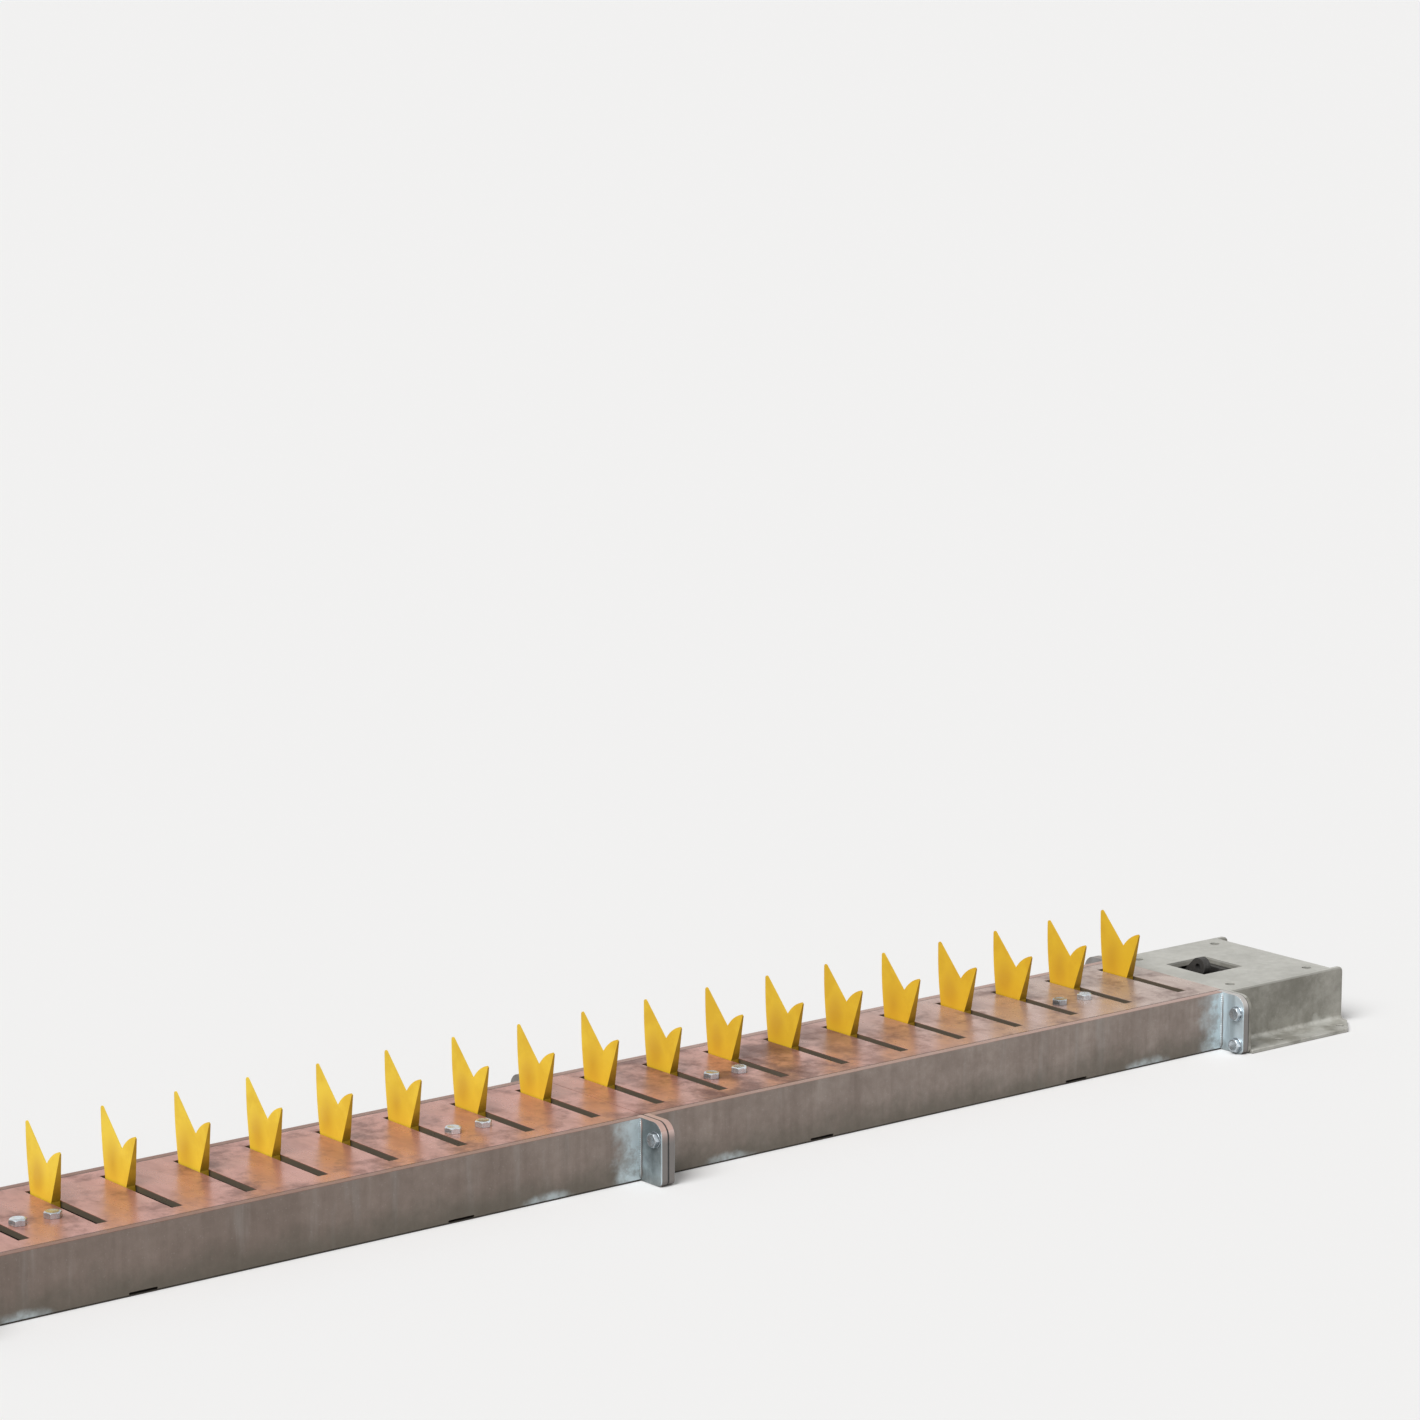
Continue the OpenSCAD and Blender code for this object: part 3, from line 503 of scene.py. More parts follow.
def effect(name, colours, values, surface=False, vectors=("Vector",)):
    """A new shader node group: its sheet, and the sockets that it is given and that it results in.

    It is given vectors, colours and values with their defaults. It results in a colour, and as a
    surface also in a roughness and a height.
    """
    group = bpy.data.node_groups.new(name, "ShaderNodeTree")

    def socket(way, kind, label):
        return group.interface.new_socket(name=label, in_out=way, socket_type="NodeSocket" + kind)

    for label in vectors:
        socket("INPUT", "Vector", label)
    for label in colours:
        socket("INPUT", "Color", label)
    for label, value in values.items():
        socket("INPUT", "Float", label).default_value = value
    socket("OUTPUT", "Color", "Colour")
    for label in ("Roughness", "Height") if surface else ():
        socket("OUTPUT", "Float", label)
    given = group.nodes.new("NodeGroupInput").outputs
    result = group.nodes.new("NodeGroupOutput").inputs
    return group, Sheet(group), given, result


def old_zinc():
    """Clouded, streaked zinc: colour, roughness and height."""
    group, s, given, result = effect(
        "Old zinc", ("Colour", "Dark"), {"Clouds": 0.6, "Streaks": 0.4, "Rough": 0.5}, surface=True
    )
    vector = given["Vector"]
    clouds = s.step(s.noise(vector, 13, 6, 0.62), 0.36, 0.68)
    fine = s.step(s.noise(vector, 85, 6, 0.66), 0.30, 0.72)
    streaks = s.step(s.noise(vector, 60, 4, 0.6, stretch=(1, 1, 0.09)), 0.40, 0.68)
    colour = s.tint(given["Colour"], clouds, given["Clouds"], given["Dark"])
    colour = s.tint(colour, fine, s.math("MULTIPLY", given["Clouds"], 0.45), given["Dark"])
    colour = s.tint(colour, streaks, given["Streaks"], given["Dark"])
    pale = s.step(s.noise(vector, 36, 4, 0.6, stretch=(1, 1, 0.10), shift=(4.0, 1.0, 0.0)), 0.54, 0.74)
    colour = s.tint(colour, pale, given["Streaks"], STREAK)
    speck = s.step(s.noise(vector, 420, 3, 0.5), 0.62, 0.74)
    s.put(result["Colour"], s.tint(colour, speck, 0.10, SPECK))
    rough = s.math("ADD", s.ragged(fine, 0.16), given["Rough"])
    s.put(result["Roughness"], s.math("MULTIPLY_ADD", streaks, 0.06, rough, clamp=True))
    height = s.math("MULTIPLY_ADD", s.noise(vector, 240, 5, 0.6), 0.6, s.math("MULTIPLY", fine, 0.4))
    s.put(result["Height"], height)
    return group


def weld_spray():
    """Fresh zinc sprayed beside the flanges and over the low welds of a strip section."""
    group, s, given, result = effect(
        "Weld spray", ("Colour", "Spray"), {"Reach": 0.046, "Low spots": 0.6}
    )
    vector = given["Vector"]
    x, _, z = s.axes(vector)
    ragged = s.ragged(s.noise(vector, 46, 5, 0.6), 0.045)
    plane = s.math("MODULO", s.math("SUBTRACT", BASE_LEFT, x), SECTION)
    plane = s.math("ADD", plane, ragged)
    beside = s.step(plane, 2 * FLANGE, s.math("ADD", given["Reach"], FLANGE), 1.0, 0.0)
    start = STRIP_LEFT + SECTION / 2 - SPOT_SHIFT
    middle = s.math("PINGPONG", s.math("SUBTRACT", x, start), SECTION / 2)
    along = s.math("SUBTRACT", middle, LUG_OFFSET)
    up = s.math("MULTIPLY", z, 3.4)
    squares = s.math("MULTIPLY_ADD", along, along, s.math("MULTIPLY", up, up))
    far = s.math("ADD", s.math("SQRT", squares), ragged)
    spots = s.math("MULTIPLY", s.step(far, 0.012, 0.050, 1.0, 0.0), given["Low spots"])
    mask = s.math("MAXIMUM", beside, spots, clamp=True)
    patchy = s.step(s.noise(vector, 55, 5, 0.65), 0.32, 0.58, 0.45, 1.0)
    s.put(result["Colour"], s.tint(given["Colour"], mask, patchy, given["Spray"]))
    return group


def low_dirt_and_highlight():
    """Dirt that climbs from the ground with a ragged upper limit; on the drive base the same climb
    carries a painted highlight.
    """
    group, s, given, result = effect("Low dirt and highlight", ("Colour", "Dirt"), {"Top": 0.05, "Amount": 0.7})
    height = s.axes(given["Vector"])[2]
    ragged = s.ragged(s.noise(given["Vector"], 30, 5, 0.6), 0.05)
    mask = s.step(s.math("ADD", height, ragged), 0.0, given["Top"], 1.0, 0.0)
    s.put(result["Colour"], s.tint(given["Colour"], mask, given["Amount"], given["Dirt"]))
    return group


def top_skin():
    """One colour above a height and another below it."""
    group, s, given, result = effect("Top skin", ("Colour", "Top"), {"Height": 0.0795, "Amount": 1.0})
    soft = 0.0003
    height = s.axes(given["Vector"])[2]
    worn = s.math("ADD", height, s.ragged(s.noise(given["Vector"], 90, 4, 0.6), 0.0008))
    low, high = (s.math("ADD", given["Height"], way * soft) for way in (-1, 1))
    mask = s.step(worn, low, high)
    s.put(result["Colour"], s.tint(given["Colour"], mask, given["Amount"], given["Top"]))
    return group


def length_drift():
    """A slow change from one colour at the strip's free end to another at its drive."""
    group, s, given, result = effect("Length drift", ("Near", "Far"), {"From": -0.9, "To": 0.8})
    share = s.step(s.axes(given["Vector"])[0], given["From"], given["To"])
    s.put(result["Colour"], s.mix(share, given["Near"], given["Far"]))
    return group


def scuffed_cover():
    """Warm clouds, brown stains and long scuffs on the covers."""
    group, s, given, result = effect(
        "Scuffed cover", ("Colour", "Warm", "Stain"), {"Stains": 0.5, "Soiled place": 0.12}, surface=True
    )
    vector = given["Vector"]
    away = s.math("ABSOLUTE", s.math("SUBTRACT", s.axes(vector)[0], given["Soiled place"]))
    soiled = s.step(s.noise(vector, 11, 6, 0.66), 0.43, 0.60)
    soiled = s.math("MULTIPLY", s.step(away, 0.06, 0.34, 1.0, 0.0), soiled)
    warm = s.step(s.noise(vector, 8, 5, 0.6, shift=(3.1, 0.4, 0.0)), 0.40, 0.66)
    stain = s.step(s.noise(vector, 13, 8, 0.74, shift=(0.7, 9.2, 0.0)), 0.47, 0.66)
    drift = s.step(s.noise(vector, 42, 6, 0.70, stretch=(1, 0.3, 1)), 0.42, 0.70)
    colour = s.tint(given["Colour"], warm, 0.30, given["Warm"])
    for mask, amount in ((stain, given["Stains"]), (drift, 0.26), (soiled, 0.80)):
        colour = s.tint(colour, mask, amount, given["Stain"])
    fleck = s.step(s.noise(vector, 300, 4, 0.6), 0.64, 0.74)
    s.put(result["Colour"], s.tint(colour, fleck, 0.16, FLECK))
    rough = s.math("MULTIPLY_ADD", stain, 0.14, 0.27)
    rough = s.math("MULTIPLY_ADD", soiled, 0.12, rough)
    s.put(result["Roughness"], s.math("MULTIPLY_ADD", drift, 0.08, rough, clamp=True))
    height = s.math("MULTIPLY_ADD", s.noise(vector, 160, 5, 0.6), 0.7, s.math("MULTIPLY", stain, 0.3))
    s.put(result["Height"], height)
    return group


def paint_skin():
    """Powder coat: faint clouds, a painted dark reflection in a spot, darker towards the base, painted
    shade on what faces the front, orange peel.
    """
    group, s, given, result = effect(
        "Paint skin", ("Colour", "Shade", "Front"), {"Low": 0.078, "High": 0.118, "Rough": 0.42},
        surface=True, vectors=("Vector", "Facing"),
    )
    vector = given["Vector"]
    clouds = s.step(s.noise(vector, 26, 5, 0.6), 0.38, 0.64)
    # Painted dark reflection: a soft dark spot at the same place on every spike's face
    away = s.node("VectorMath", {0: vector, 1: DARK_REFLECTION_SPOT}, operation="SUBTRACT").outputs[0]
    away = s.node("VectorMath", {0: away, 1: (0, 1.1, 0.7)}, operation="MULTIPLY").outputs[0]
    away = s.node("VectorMath", {0: away}, operation="LENGTH").outputs["Value"]
    patch = s.step(s.math("MULTIPLY_ADD", clouds, 0.010, away), 0.004, 0.030, 1.0, 0.0)
    height = s.math("ADD", s.axes(vector)[2], s.ragged(clouds, 0.02))
    # Darker towards the base
    low = s.step(height, given["Low"], given["High"], 1.0, 0.0)
    rubbed = s.step(s.noise(vector, 60, 6, 0.7, shift=(5.0, 2.0, 1.0)), 0.60, 0.78)
    colour = given["Colour"]
    for mask, amount in ((clouds, 0.26), (patch, 0.50), (low, 0.10), (rubbed, 0.22)):
        colour = s.tint(colour, mask, amount, given["Shade"])
    # Painted shade: faces that look forward are darkened, more so towards the base
    front_facing = s.step(s.axes(given["Facing"])[1], -0.9, -0.4, 1.0, 0.0)
    front_shade_share = s.math("MULTIPLY_ADD", low, 0.55, 0.30)
    s.put(result["Colour"], s.tint(colour, front_facing, front_shade_share, given["Front"]))
    s.put(result["Roughness"], s.math("MULTIPLY_ADD", clouds, 0.10, given["Rough"]))
    s.put(result["Height"], s.noise(vector, 520, 3, 0.5))
    return group


def drawn_bar():
    """Fine rings along X, as a drawn or turned bar has, under an oil film."""
    group, s, given, result = effect("Drawn bar", ("Colour",), {"Rough": 0.3}, surface=True)
    vector = given["Vector"]
    rings = s.noise(vector, 900, 3, 0.6, stretch=(1, 0.02, 0.02))
    film = s.step(s.noise(vector, 26, 5, 0.6), 0.35, 0.70)
    shade = s.math("MULTIPLY_ADD", film, 0.35, s.math("MULTIPLY", rings, 0.15))
    s.put(result["Colour"], s.mix(shade, given["Colour"], OIL))
    s.put(result["Roughness"], s.math("MULTIPLY_ADD", film, 0.15, given["Rough"]))
    s.put(result["Height"], rings)
    return group


EFFECTS = {
    "zinc": old_zinc, "spray": weld_spray, "dirt": low_dirt_and_highlight, "skin": top_skin, "drift": length_drift,
    "cover": scuffed_cover, "paint": paint_skin, "bar": drawn_bar,
}


class Finish:
    """A material with one Principled shader, fed by effect groups in Object coordinates."""

    effects = {}

    def __init__(self, name, metallic, specular=0.5):
        self.material = bpy.data.materials.new(name)
        self.material.use_nodes = True
        self.sheet = Sheet(self.material.node_tree)
        self.material.node_tree.nodes.clear()
        out = self.sheet.node("OutputMaterial")
        self.shader = self.sheet.node("BsdfPrincipled")
        self.sheet.put(out.inputs["Surface"], self.shader.outputs[0])
        self.shader.inputs["Metallic"].default_value = metallic
        self.shader.inputs["Specular IOR Level"].default_value = specular
        self.place = self.sheet.node("TexCoord").outputs["Object"]

    def use(self, key, **values):
        """Places an effect group, made once for all finishes, with its values."""
        if key not in self.effects:
            self.effects[key] = EFFECTS[key]()
        made = self.sheet.node("Group", node_tree=self.effects[key])
        self.sheet.put(made.inputs["Vector"], self.place)
        for label, value in values.items():
            self.sheet.put(made.inputs[label], value)
        return made.outputs

    def outward(self):
        """Object coordinates with the distance from the middle plane as their height."""
        x, y, z = self.sheet.axes(self.place)
        away = self.sheet.math("ABSOLUTE", y)
        return self.sheet.node("CombineXYZ", {0: x, 1: z, 2: away}).outputs[0]

    def from_joint(self):
        """Object coordinates with the distance from the nearest joint as their height."""
        x, y, z = self.sheet.axes(self.place)
        away = self.sheet.math("PINGPONG", self.sheet.math("SUBTRACT", x, STRIP_LEFT), SECTION / 2)
        return self.sheet.node("CombineXYZ", {0: z, 1: y, 2: away}).outputs[0]

    def done(self, colour, source, depth):
        """The material in a colour, with an effect's roughness and its relief of a real depth."""
        entries = {"Height": source["Height"], "Distance": depth, "Strength": 1.0}
        relief = self.sheet.node("Bump", entries).outputs[0]
        values = {"Base Color": colour, "Roughness": source["Roughness"], "Normal": relief}
        for key, value in values.items():
            self.sheet.put(self.shader.inputs[key], value)
        return self.material


def rail_zinc(colours):
    """Old brownish zinc, sprayed by the welds and dirty at the foot, with a painted contact shadow along
    its lowest edge and a rim that is partly worn and partly painted reddish light.
    """
    f = Finish("Rail zinc", metallic=0.25)
    tone = f.use("drift", Near=colours.rail, Far=colours.rail_far)["Colour"]
    # The rim colour is partly painted reddish light on the tops and partly wear
    top = f.use("drift", Near=colours.rail_rim_wear_and_glow, Far=colours.rail_rim_far)["Colour"]
    zinc = f.use("zinc", Colour=tone, Dark=colours.rail_dark, Clouds=0.50, Streaks=0.32, Rough=0.50)
    dirty = f.use("dirt", Colour=zinc["Colour"], Dirt=colours.rail_foot, Top=0.048, Amount=0.75)
    spray = f.use("spray", Colour=dirty["Colour"], Spray=colours.spray)
    # Painted contact shadow along the rails' lowest edge
    foot = f.use("skin", Colour=colours.rail_foot_shadow, Top=spray["Colour"], Height=FOOT_SHADOW_TOP)
    # Painted reddish light on the rails' top faces, over their worn rim
    rim = f.use("skin", Colour=foot["Colour"], Top=top, Height=RAIL_RIM_GLOW_HEIGHT)
    return f.done(rim["Colour"], zinc, 0.00035)


def flange_zinc(name, clouds, split, colours):
    """Clouded zinc, darker on the back ears, with painted reddish light on its tops, brown narrow
    fronts, and a share of the black line painted as shade in the crack between plates.
    """
    f = Finish(name, metallic=0.45)
    tone = f.use("drift", Near=colours.flange, Far=colours.flange_far, From=-0.1)["Colour"]
    # The tops' colour is painted reddish light
    top = f.use("drift", Near=colours.flange_rim_glow, Far=colours.flange_rim_far, From=-0.1)["Colour"]
    zinc = f.use("zinc", Colour=tone, Dark=colours.flange_dark, Clouds=clouds, Streaks=0.45, Rough=0.38)
    dirty = f.use("dirt", Colour=zinc["Colour"], Dirt=colours.rail_foot, Top=0.020, Amount=0.4)
    line = f.use("skin", Vector=f.outward(), Colour=dirty["Colour"], Top=colours.spray,
                 Height=EAR_END_Y, Amount=0.7)
    s = f.sheet
    height = s.axes(f.place)[2]
    # Narrow faces: brown low down, and painted reddish light on the tops of the ears
    edge = s.mix(s.step(height, 0.052, 0.076), colours.flange_front, top)
    along = s.math("ABSOLUTE", s.axes(s.node("TexCoord").outputs["Normal"])[0])
    worn = s.mix(s.step(along, 0.35, 0.8, 0.85, 0.0), line["Colour"], edge)
    # Darker on the back ears
    back = s.step(s.axes(f.place)[1], RAIL_FACE, RAIL_FACE + 0.005)
    worn = s.tint(worn, back, 0.75, colours.rail_dark)
    # Painted shade: a black line where two plates meet, as the shade in the crack between them
    crack_shade = f.use("skin", Vector=f.from_joint(), Colour=BLACK, Top=worn, Height=CRACK_SHADE_HALF)
    return f.done(s.mix(split, worn, crack_shade["Colour"]), zinc, 0.00035)


def cover_finish(colours):
    """Brown, with a rosy tint that is partly a painted red glow on the tops, scuffed and glossy enough
    to mirror the spikes; painted shade lies along the seam beside the rails.
    """
    f = Finish("Cover plate", metallic=0.30, specular=0.6)
    # The drift from rosy to greyer is partly a painted red glow that fades towards the drive
    tone = f.use("drift", Near=colours.cover, Far=colours.cover_far, From=0.0, To=1.0)["Colour"]
    warm = f.use("drift", Near=colours.cover_warm, Far=colours.cover_far, From=-0.4)["Colour"]
    cover = f.use("cover", Colour=tone, Warm=warm, Stain=colours.cover_dark, Stains=0.66)
    skin = f.use("skin", Colour=colours.slot, Top=cover["Colour"], Height=COVER_FACE)
    # Painted shade in the seam beside the rails
    seam = f.use("skin", Vector=f.outward(), Colour=skin["Colour"], Top=colours.seam,
                 Height=SEAM_SHADE_Y, Amount=0.8)
    return f.done(seam["Colour"], cover, 0.00012)


def spike_paint(colours):
    """Golden yellow powder coat, with painted shade: darker towards the drive, on faces that look
    forward, and in a dark reflection painted on each face.
    """
    f = Finish("Spike yellow", metallic=0.0, specular=0.4)
    facing = f.sheet.node("TexCoord").outputs["Normal"]
    # The drift to a deeper yellow at the drive is painted shade
    tone = f.use("drift", Near=colours.spike, Far=colours.spike_far_shade)["Colour"]
    dark, front = colours.spike_dark, colours.spike_front_shade
    paint = f.use("paint", Facing=facing, Colour=tone, Shade=dark, Front=front)
    return f.done(paint["Colour"], paint, 0.00006)


def base_zinc(colours):
    """Mottled greenish grey of the drive base, with a painted highlight on its foot lip and its top."""
    f = Finish("Base zinc", metallic=0.25)
    dark = colours.base_dark
    zinc = f.use("zinc", Colour=colours.base, Dark=dark, Clouds=0.80, Streaks=0.06, Rough=0.50)
    # Painted highlight on the foot lip, which faces up and catches more light
    foot = f.use("dirt", Colour=zinc["Colour"], Dirt=colours.base_highlight, Top=0.012, Amount=0.6)
    # Painted highlight on the top plate and top edge
    rim = f.use("skin", Colour=foot["Colour"], Top=colours.base_highlight, Height=BASE_HIGHLIGHT_HEIGHT, Amount=0.5)
    return f.done(rim["Colour"], zinc, 0.0003)


def bolt_zinc(colours):
    """Bright zinc plate."""
    f = Finish("Bolt zinc", metallic=0.8)
    dark = colours.bolt_dark
    zinc = f.use("zinc", Colour=colours.bolt, Dark=dark, Clouds=0.8, Streaks=0.0, Rough=0.26)
    return f.done(zinc["Colour"], zinc, 0.0001)


def inner_primer(colours):
    """Dark primer of the parts under the cover."""
    f = Finish("Inner primer", metallic=0.1)
    zinc = f.use("zinc", Colour=colours.inner, Dark=BLACK, Clouds=0.6, Streaks=0.2, Rough=0.6)
    return f.done(zinc["Colour"], zinc, 0.0003)


def bar_steel(name, tint, rough, metallic=0.9):
    """Oiled drawn steel or bronze."""
    f = Finish(name, metallic=metallic)
    bar = f.use("bar", Colour=tint, Rough=rough)
    return f.done(bar["Colour"], bar, 0.00005)


def flange_planes():
    """Where each section's rails begin and end along X, with the way from flange to rail."""
    starts = [STRIP_LEFT + n * SECTION for n in range(SECTIONS)]
    return [p for x in starts for p in ((x + FLANGE, 1), (x + SECTION - FLANGE, -1))]


def member_places():
    """Middles of the cross members."""
    middles = [STRIP_LEFT + (n + 0.5) * SECTION for n in range(SECTIONS)]
    return [x + way * MEMBER_OFFSET for x in middles for way in (-1, 1)]


class SPIKESTRIP_OT_rails(bpy.types.Operator):
    """Dress the four side rails"""

    bl_idname = "spike_strip.rails"
    bl_label = "Side rails"

    def execute(self, context):
        colours = context.scene.spike_strip_colours
        radius = context.scene.spike_strip_edges.rail
        material = rail_zinc(colours)
        for side in ("front", "back"):
            for section in ("left", "right"):
                softened(f"{side}_rail_{section}", radius, material, "strip_frame")
        return {"FINISHED"}


class SPIKESTRIP_OT_flanges(bpy.types.Operator):
    """Dress the eared flanges and the anchor lugs"""

    bl_idname = "spike_strip.flanges"
    bl_label = "End flanges"

    def execute(self, context):
        colours = context.scene.spike_strip_colours
        radius = context.scene.spike_strip_edges.flange
        # The second number is the share of the black line painted as shade in the crack at a joint
        dull = flange_zinc("Flange zinc", 0.85, 0.9, colours)
        plain = flange_zinc("Plain flange zinc", 0.5, 0.0, colours)
        fresh = flange_zinc("Fresh flange zinc", 0.0, 0.9, colours)
        for node, material in (
            ("left_end_flange", plain), ("middle_flange_left", dull),
            ("middle_flange_right", dull), ("drive_end_flange", fresh),
        ):
            softened(node, radius, material, "strip_frame")
        paint_node("anchor_lugs", plain)
        return {"FINISHED"}


class SPIKESTRIP_OT_covers(bpy.types.Operator):
    """Dress the slotted covers"""

    bl_idname = "spike_strip.covers"
    bl_label = "Covers"

    def execute(self, context):
        material = cover_finish(context.scene.spike_strip_colours)
        for node in ("cover_left", "cover_right"):
            softened(node, context.scene.spike_strip_edges.cover, material, "strip_frame")
        return {"FINISHED"}


class SPIKESTRIP_OT_spikes(bpy.types.Operator):
    """Paint the spikes and round their edges"""

    bl_idname = "spike_strip.spikes"
    bl_label = "Spikes"

    def execute(self, context):
        material = spike_paint(context.scene.spike_strip_colours)
        for node in SPIKES:
            softened(node, context.scene.spike_strip_edges.spike, material, node)
        return {"FINISHED"}


class SPIKESTRIP_OT_base(bpy.types.Operator):
    """Dress the drive base"""

    bl_idname = "spike_strip.base"
    bl_label = "Drive base"

    def execute(self, context):
        material = base_zinc(context.scene.spike_strip_colours)
        radius = context.scene.spike_strip_edges.base
        for wall in ("front_wall", "back_wall", "end_plate", "top_plate", "outer_wall"):
            softened("base_" + wall, radius, material, "strip_frame")
        return {"FINISHED"}


class SPIKESTRIP_OT_cover_bolts(bpy.types.Operator):
    """Set the hex bolts on the covers"""

    bl_idname = "spike_strip.cover_bolts"
    bl_label = "Cover bolts"

    def execute(self, context):
        sizes = context.scene.spike_strip_hardware
        head = turned(head_profile(sizes.cover_head, sizes.cover_flats), 72, sizes.cover_flats)
        radius, low, point = sizes.cover_thread / 2, -sizes.cover_shank, 0.001
        shank = turned(np.array([
            [low, 0], [low, radius - point], [low + point, radius], [0, radius], [0, 0],
        ]), 32)
        bolt = put_together([head, shank])
        offsets = [COVER_BOLTS_X + way * COVER_BOLTS_APART / 2 for way in (-1, 1)]
        shapes = [
            moved(bolt, (x + offset, COVER_BOLTS_Y, STRIP_TOP), about_z(15))
            for x in member_places() for offset in offsets
        ]
        material = bolt_zinc(context.scene.spike_strip_colours)
        piece = new_piece("cover_bolts_hex", put_together(shapes), material, "strip_frame")
        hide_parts("cover_bolts")
        return {"FINISHED"}


def joint_places():
    """Left face of the plates, Y, Z and thickness held, for each joint bolt."""
    starts = [STRIP_LEFT + n * SECTION for n in range(1, SECTIONS)]
    places = [(x - FLANGE, z, 2 * FLANGE) for x in starts for z in JOINT_BOLTS_Z]
    places += [(BASE_LEFT - FLANGE, z, DRIVE_GRIP) for z in DRIVE_BOLTS_Z]
    return [(x, side * EAR_BOLTS_Y, z, grip) for x, z, grip in places for side in (-1, 1)]


class SPIKESTRIP_OT_joint_bolts(bpy.types.Operator):
    """Set the bolts and washers of the joints"""

    bl_idname = "spike_strip.joint_bolts"
    bl_label = "Joint bolts"

    def execute(self, context):
        sizes = context.scene.spike_strip_hardware
        material = bolt_zinc(context.scene.spike_strip_colours)
        radius, thick = sizes.joint_thread / 2, sizes.washer_thick
        hole, outer, edge = radius + 0.00025, sizes.washer / 2, 0.0003
        thread_in, bar_in = 0.003, 0.001
        head = turned(head_profile(sizes.joint_head, sizes.joint_flats), 72, sizes.joint_flats)
        washer = turned(np.array([
            [0, hole], [0, outer - edge], [edge, outer],
            [thick - edge, outer], [thick, outer - edge], [thick, hole],
        ]), 48, closed=True)
        end = threaded_end(radius, sizes.thread_pitch, sizes.thread_out + thread_in)
        bolts, washers = [], []
        for x, y, z, grip in joint_places():
            stop = grip + thick - bar_in
            bar = turned(np.array([[0, 0], [0, radius], [stop, radius], [stop, 0]]), 32)
            bolts += [
                moved(head, (x - thick, y, z), TURNED_ROUND),
                moved(bar, (x - thick, y, z)),
                moved(end, (x + grip + sizes.thread_out, y, z), TURNED_ROUND),
            ]
            washers.append(moved(washer, (x - thick, y, z)))
        for name, shapes, node in (
            ("joint_bolts_hex", bolts, "joint_bolts"), ("joint_washers_flat", washers, "joint_washers"),
        ):
            piece = new_piece(name, put_together(shapes), material, "strip_frame")
            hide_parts(node)
        return {"FINISHED"}


class SPIKESTRIP_OT_weld_beads(bpy.types.Operator):
    """Lay the weld beads between rails and flanges"""

    bl_idname = "spike_strip.weld_beads"
    bl_label = "Weld beads"

    def execute(self, context):
        sizes = context.scene.spike_strip_hardware
        leg = sizes.bead_leg / (1 + BEAD_BULGE)
        low, high = BEAD_END, STRIP_TOP - BEAD_END
        shapes = [
            weld_bead(x, way * leg, side * leg, side * RAIL_FACE, low, high, sizes.bead_ripple)
            for x, way in flange_planes() for side in (-1, 1)
        ]
        material = flange_zinc("Weld zinc", 0.3, 0.0, context.scene.spike_strip_colours)
        new_piece("weld_beads", put_together(shapes), material, "strip_frame")
        return {"FINISHED"}


class SPIKESTRIP_OT_springs(bpy.types.Operator):
    """Wind the return springs"""

    bl_idname = "spike_strip.springs"
    bl_label = "Return springs"

    def execute(self, context):
        sizes = context.scene.spike_strip_hardware
        low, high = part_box("return_springs")
        first = float(low.x)
        radius = (float(high.z) - float(low.z)) / 2 - sizes.spring_wire / 2
        spring = coil(sizes.spring_turns, sizes.spring_wire, radius)
        shapes = [
            moved(spring, (first + i * SPIKE_PITCH, SHAFT_Y, SHAFT_Z)) for i in range(len(SPIKES))
        ]
        material = bar_steel("Spring steel", context.scene.spike_strip_colours.spring, 0.4, 0.7)
        piece = new_piece("return_springs_wound", put_together(shapes), material, "lay_shaft")
        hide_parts("return_springs")
        return {"FINISHED"}


class SPIKESTRIP_OT_inner_parts(bpy.types.Operator):
    """Paint the shaft and the parts under the cover"""

    bl_idname = "spike_strip.inner_parts"
    bl_label = "Parts under the cover"

    def execute(self, context):
        colours = context.scene.spike_strip_colours
        primer = inner_primer(colours)
        bar = bar_steel("Shaft bar", colours.shaft, 0.32)
        bronze = bar_steel("Bush bronze", colours.bronze, 0.3)
        plated = bolt_zinc(colours)
        for material, nodes in (
            (primer, ("cross_members", "bearing_brackets", "crank_lever", "coupling_hubs",
                      "stop_collars")),
            (bar, ("shaft_left", "shaft_right", "crank_shaft")),
            (bronze, ("shaft_bushes",)),
            (plated, ("coupling_pins", "collar_pins", "retaining_rings")),
        ):
            for node in nodes:
                paint_node(node, material)
        return {"FINISHED"}


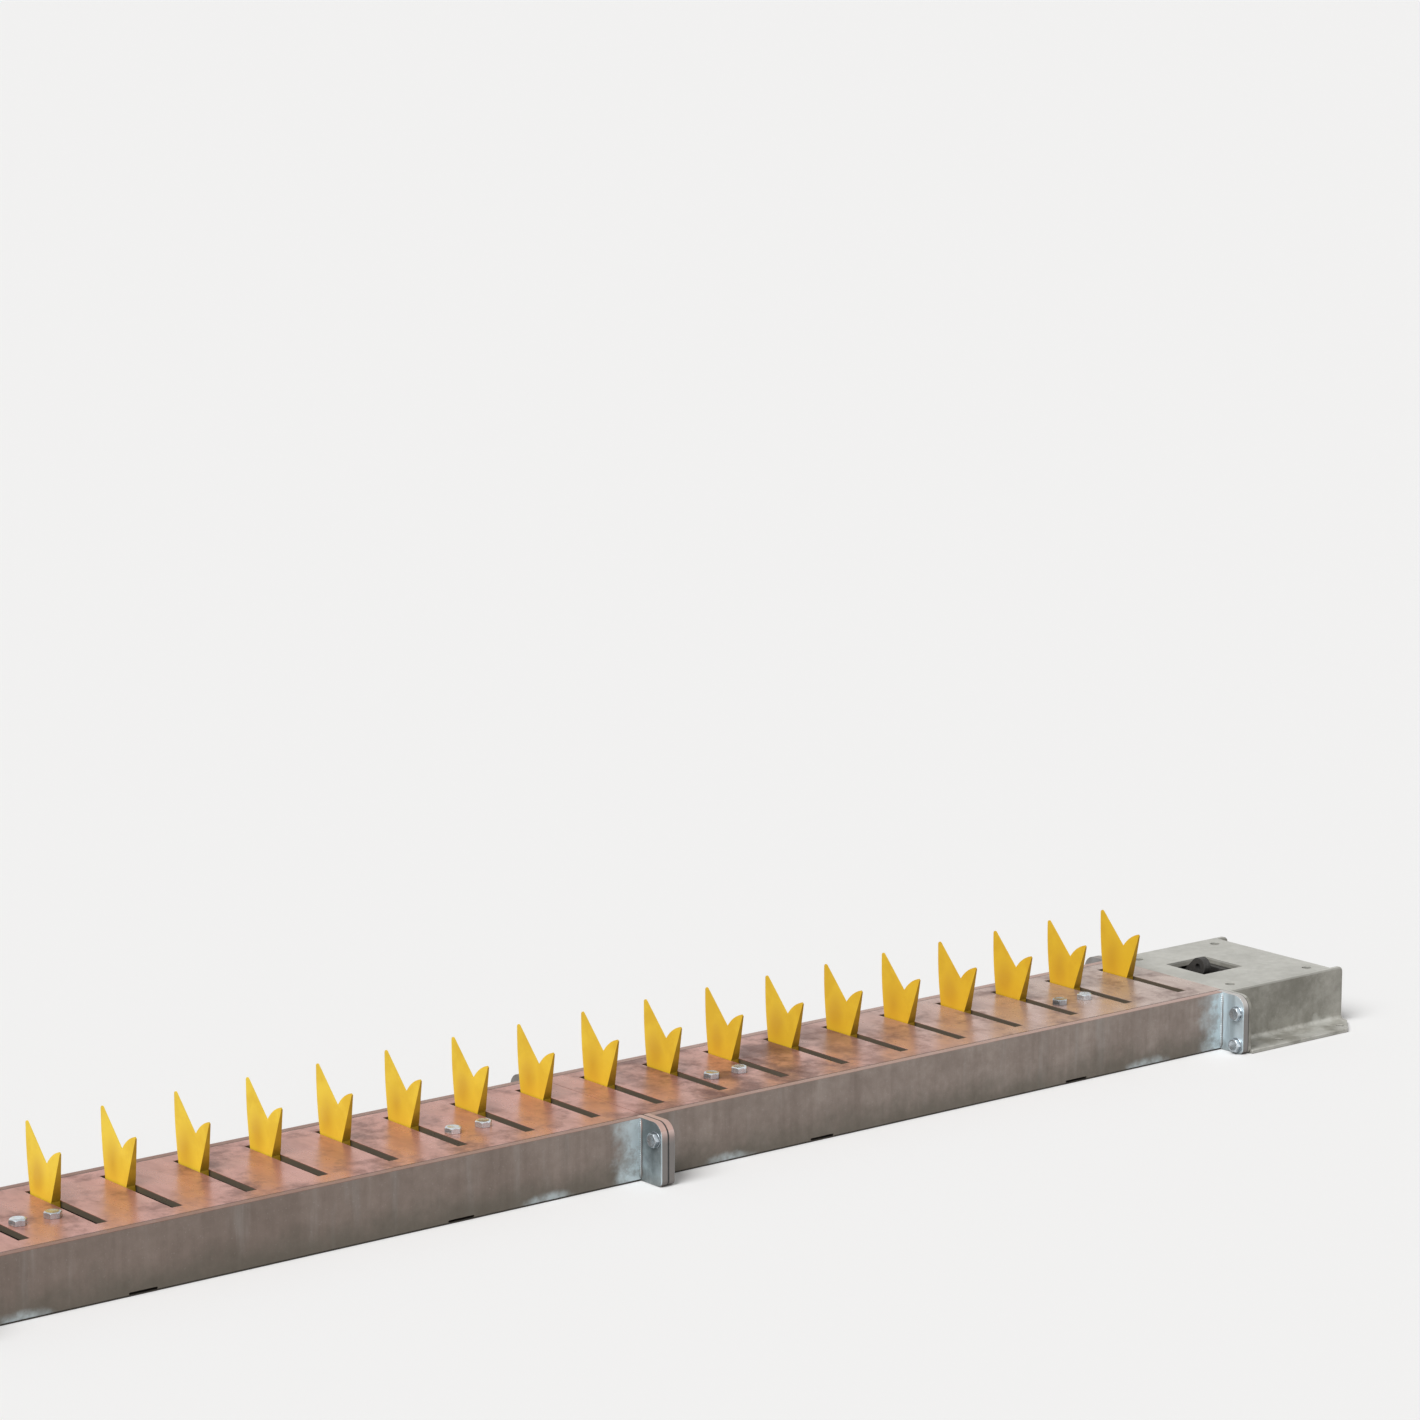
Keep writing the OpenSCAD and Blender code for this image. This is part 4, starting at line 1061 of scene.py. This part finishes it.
class SPIKESTRIP_OT_stage(bpy.types.Operator):
    """Set the floor, the lamps and the camera"""

    bl_idname = "spike_strip.stage"
    bl_label = "Stage"

    def execute(self, context):
        values = context.scene.spike_strip_stage
        scene = context.scene
        self.floor(values)
        self.sky(scene, values)
        self.lamp("Key", values.key, turn=(44, 0, -72), spread=38)
        self.lamp("Fill", values.fill, turn=(58, 0, 24), spread=60)
        camera = bpy.data.objects.new("Camera", bpy.data.cameras.new("Camera"))
        camera.data.sensor_fit = "HORIZONTAL"
        camera.data.sensor_width = 36
        camera.data.lens = values.lens * 1000
        camera.data.clip_end = 400
        camera.location = CAMERA_PLACE
        camera.rotation_euler = [math.radians(a) for a in CAMERA_TURN]
        scene.collection.objects.link(camera)
        scene.camera = camera
        scene.view_settings.view_transform = "Standard"
        return {"FINISHED"}

    def seen(self, sheet):
        """1 for rays that show the background: camera, mirror and glass rays."""
        path = sheet.node("LightPath").outputs
        shown = sheet.math("MAXIMUM", path["Is Camera Ray"], path["Is Glossy Ray"])
        return sheet.math("MAXIMUM", shown, path["Is Transmission Ray"])

    def floor(self, values):
        """A wide pale floor that bounces less light than it shows."""
        mesh = bpy.data.meshes.new("floor")
        ways = ((-1, -1), (1, -1), (1, 1), (-1, 1))
        mesh.from_pydata([(x * FLOOR_HALF, y * FLOOR_HALF, 0) for x, y in ways], [], [(0, 1, 2, 3)])
        floor = bpy.data.objects.new("floor", mesh)
        bpy.context.scene.collection.objects.link(floor)
        floor.location.z = -FLOOR_DROP
        material = bpy.data.materials.new("Floor")
        material.use_nodes = True
        sheet = Sheet(material.node_tree)
        material.node_tree.nodes.clear()
        shown = sheet.node("BsdfDiffuse", {"Color": values.ground})
        bounce = sheet.node("BsdfDiffuse", {"Color": values.bounce})
        both = sheet.node("MixShader", {0: self.seen(sheet), 1: bounce.outputs[0], 2: shown.outputs[0]})
        sheet.node("OutputMaterial", {"Surface": both.outputs[0]})
        mesh.materials.append(material)

    def sky(self, scene, values):
        """Even light from all round, pale where a mirror or the camera sees it."""
        world = bpy.data.worlds.new("Sky")
        scene.world = world
        world.use_nodes = True
        sheet = Sheet(world.node_tree)
        world.node_tree.nodes.clear()
        shown = sheet.node("Background", {"Color": values.ground, "Strength": 1.0})
        light = sheet.node("Background", {"Color": SKY, "Strength": values.sky})
        both = sheet.node("MixShader", {0: self.seen(sheet), 1: light.outputs[0], 2: shown.outputs[0]})
        sheet.node("OutputWorld", {"Surface": both.outputs[0]})

    def lamp(self, name, share, turn, spread):
        """A sun, turned by degrees; a share of 1 lights a facing surface to its own colour."""
        light = bpy.data.lights.new(name, "SUN")
        light.energy = share * math.pi
        light.angle = math.radians(spread)
        lamp = bpy.data.objects.new(name, light)
        lamp.rotation_euler = [math.radians(a) for a in turn]
        bpy.context.scene.collection.objects.link(lamp)


class SPIKESTRIP_PT_panel(bpy.types.Panel):
    """Lists the steps that dress the strip"""

    bl_idname = "SPIKESTRIP_PT_panel"
    bl_label = "Tyre spike strip"
    bl_space_type = "VIEW_3D"
    bl_region_type = "UI"
    bl_category = "Spike strip"

    def draw(self, context):
        for step in STEPS:
            self.layout.operator(step.bl_idname)
        for key in GROUPS:
            box = self.layout.box()
            box.label(text=key.split("_")[-1].capitalize())
            values = getattr(context.scene, key)
            for name in values.__annotations__:
                box.prop(values, name)


GROUPS = {
    "spike_strip_edges": SpikeStripEdges,
    "spike_strip_hardware": SpikeStripHardware,
    "spike_strip_colours": SpikeStripColours,
    "spike_strip_stage": SpikeStripStage,
}
STEPS = [
    SPIKESTRIP_OT_stage,
    SPIKESTRIP_OT_rails,
    SPIKESTRIP_OT_flanges,
    SPIKESTRIP_OT_covers,
    SPIKESTRIP_OT_spikes,
    SPIKESTRIP_OT_base,
    SPIKESTRIP_OT_cover_bolts,
    SPIKESTRIP_OT_joint_bolts,
    SPIKESTRIP_OT_weld_beads,
    SPIKESTRIP_OT_springs,
    SPIKESTRIP_OT_inner_parts,
]


def register():
    for made in (*GROUPS.values(), *STEPS, SPIKESTRIP_PT_panel):
        bpy.utils.register_class(made)
    for key, group in GROUPS.items():
        setattr(bpy.types.Scene, key, PointerProperty(type=group))


def unregister():
    for key in GROUPS:
        delattr(bpy.types.Scene, key)
    for made in reversed((*GROUPS.values(), *STEPS, SPIKESTRIP_PT_panel)):
        bpy.utils.unregister_class(made)


def main():
    """Builds everything in order."""
    register()
    for step in STEPS:
        family, name = step.bl_idname.split(".")
        getattr(getattr(bpy.ops, family), name)()


if __name__ == "__main__":
    main()
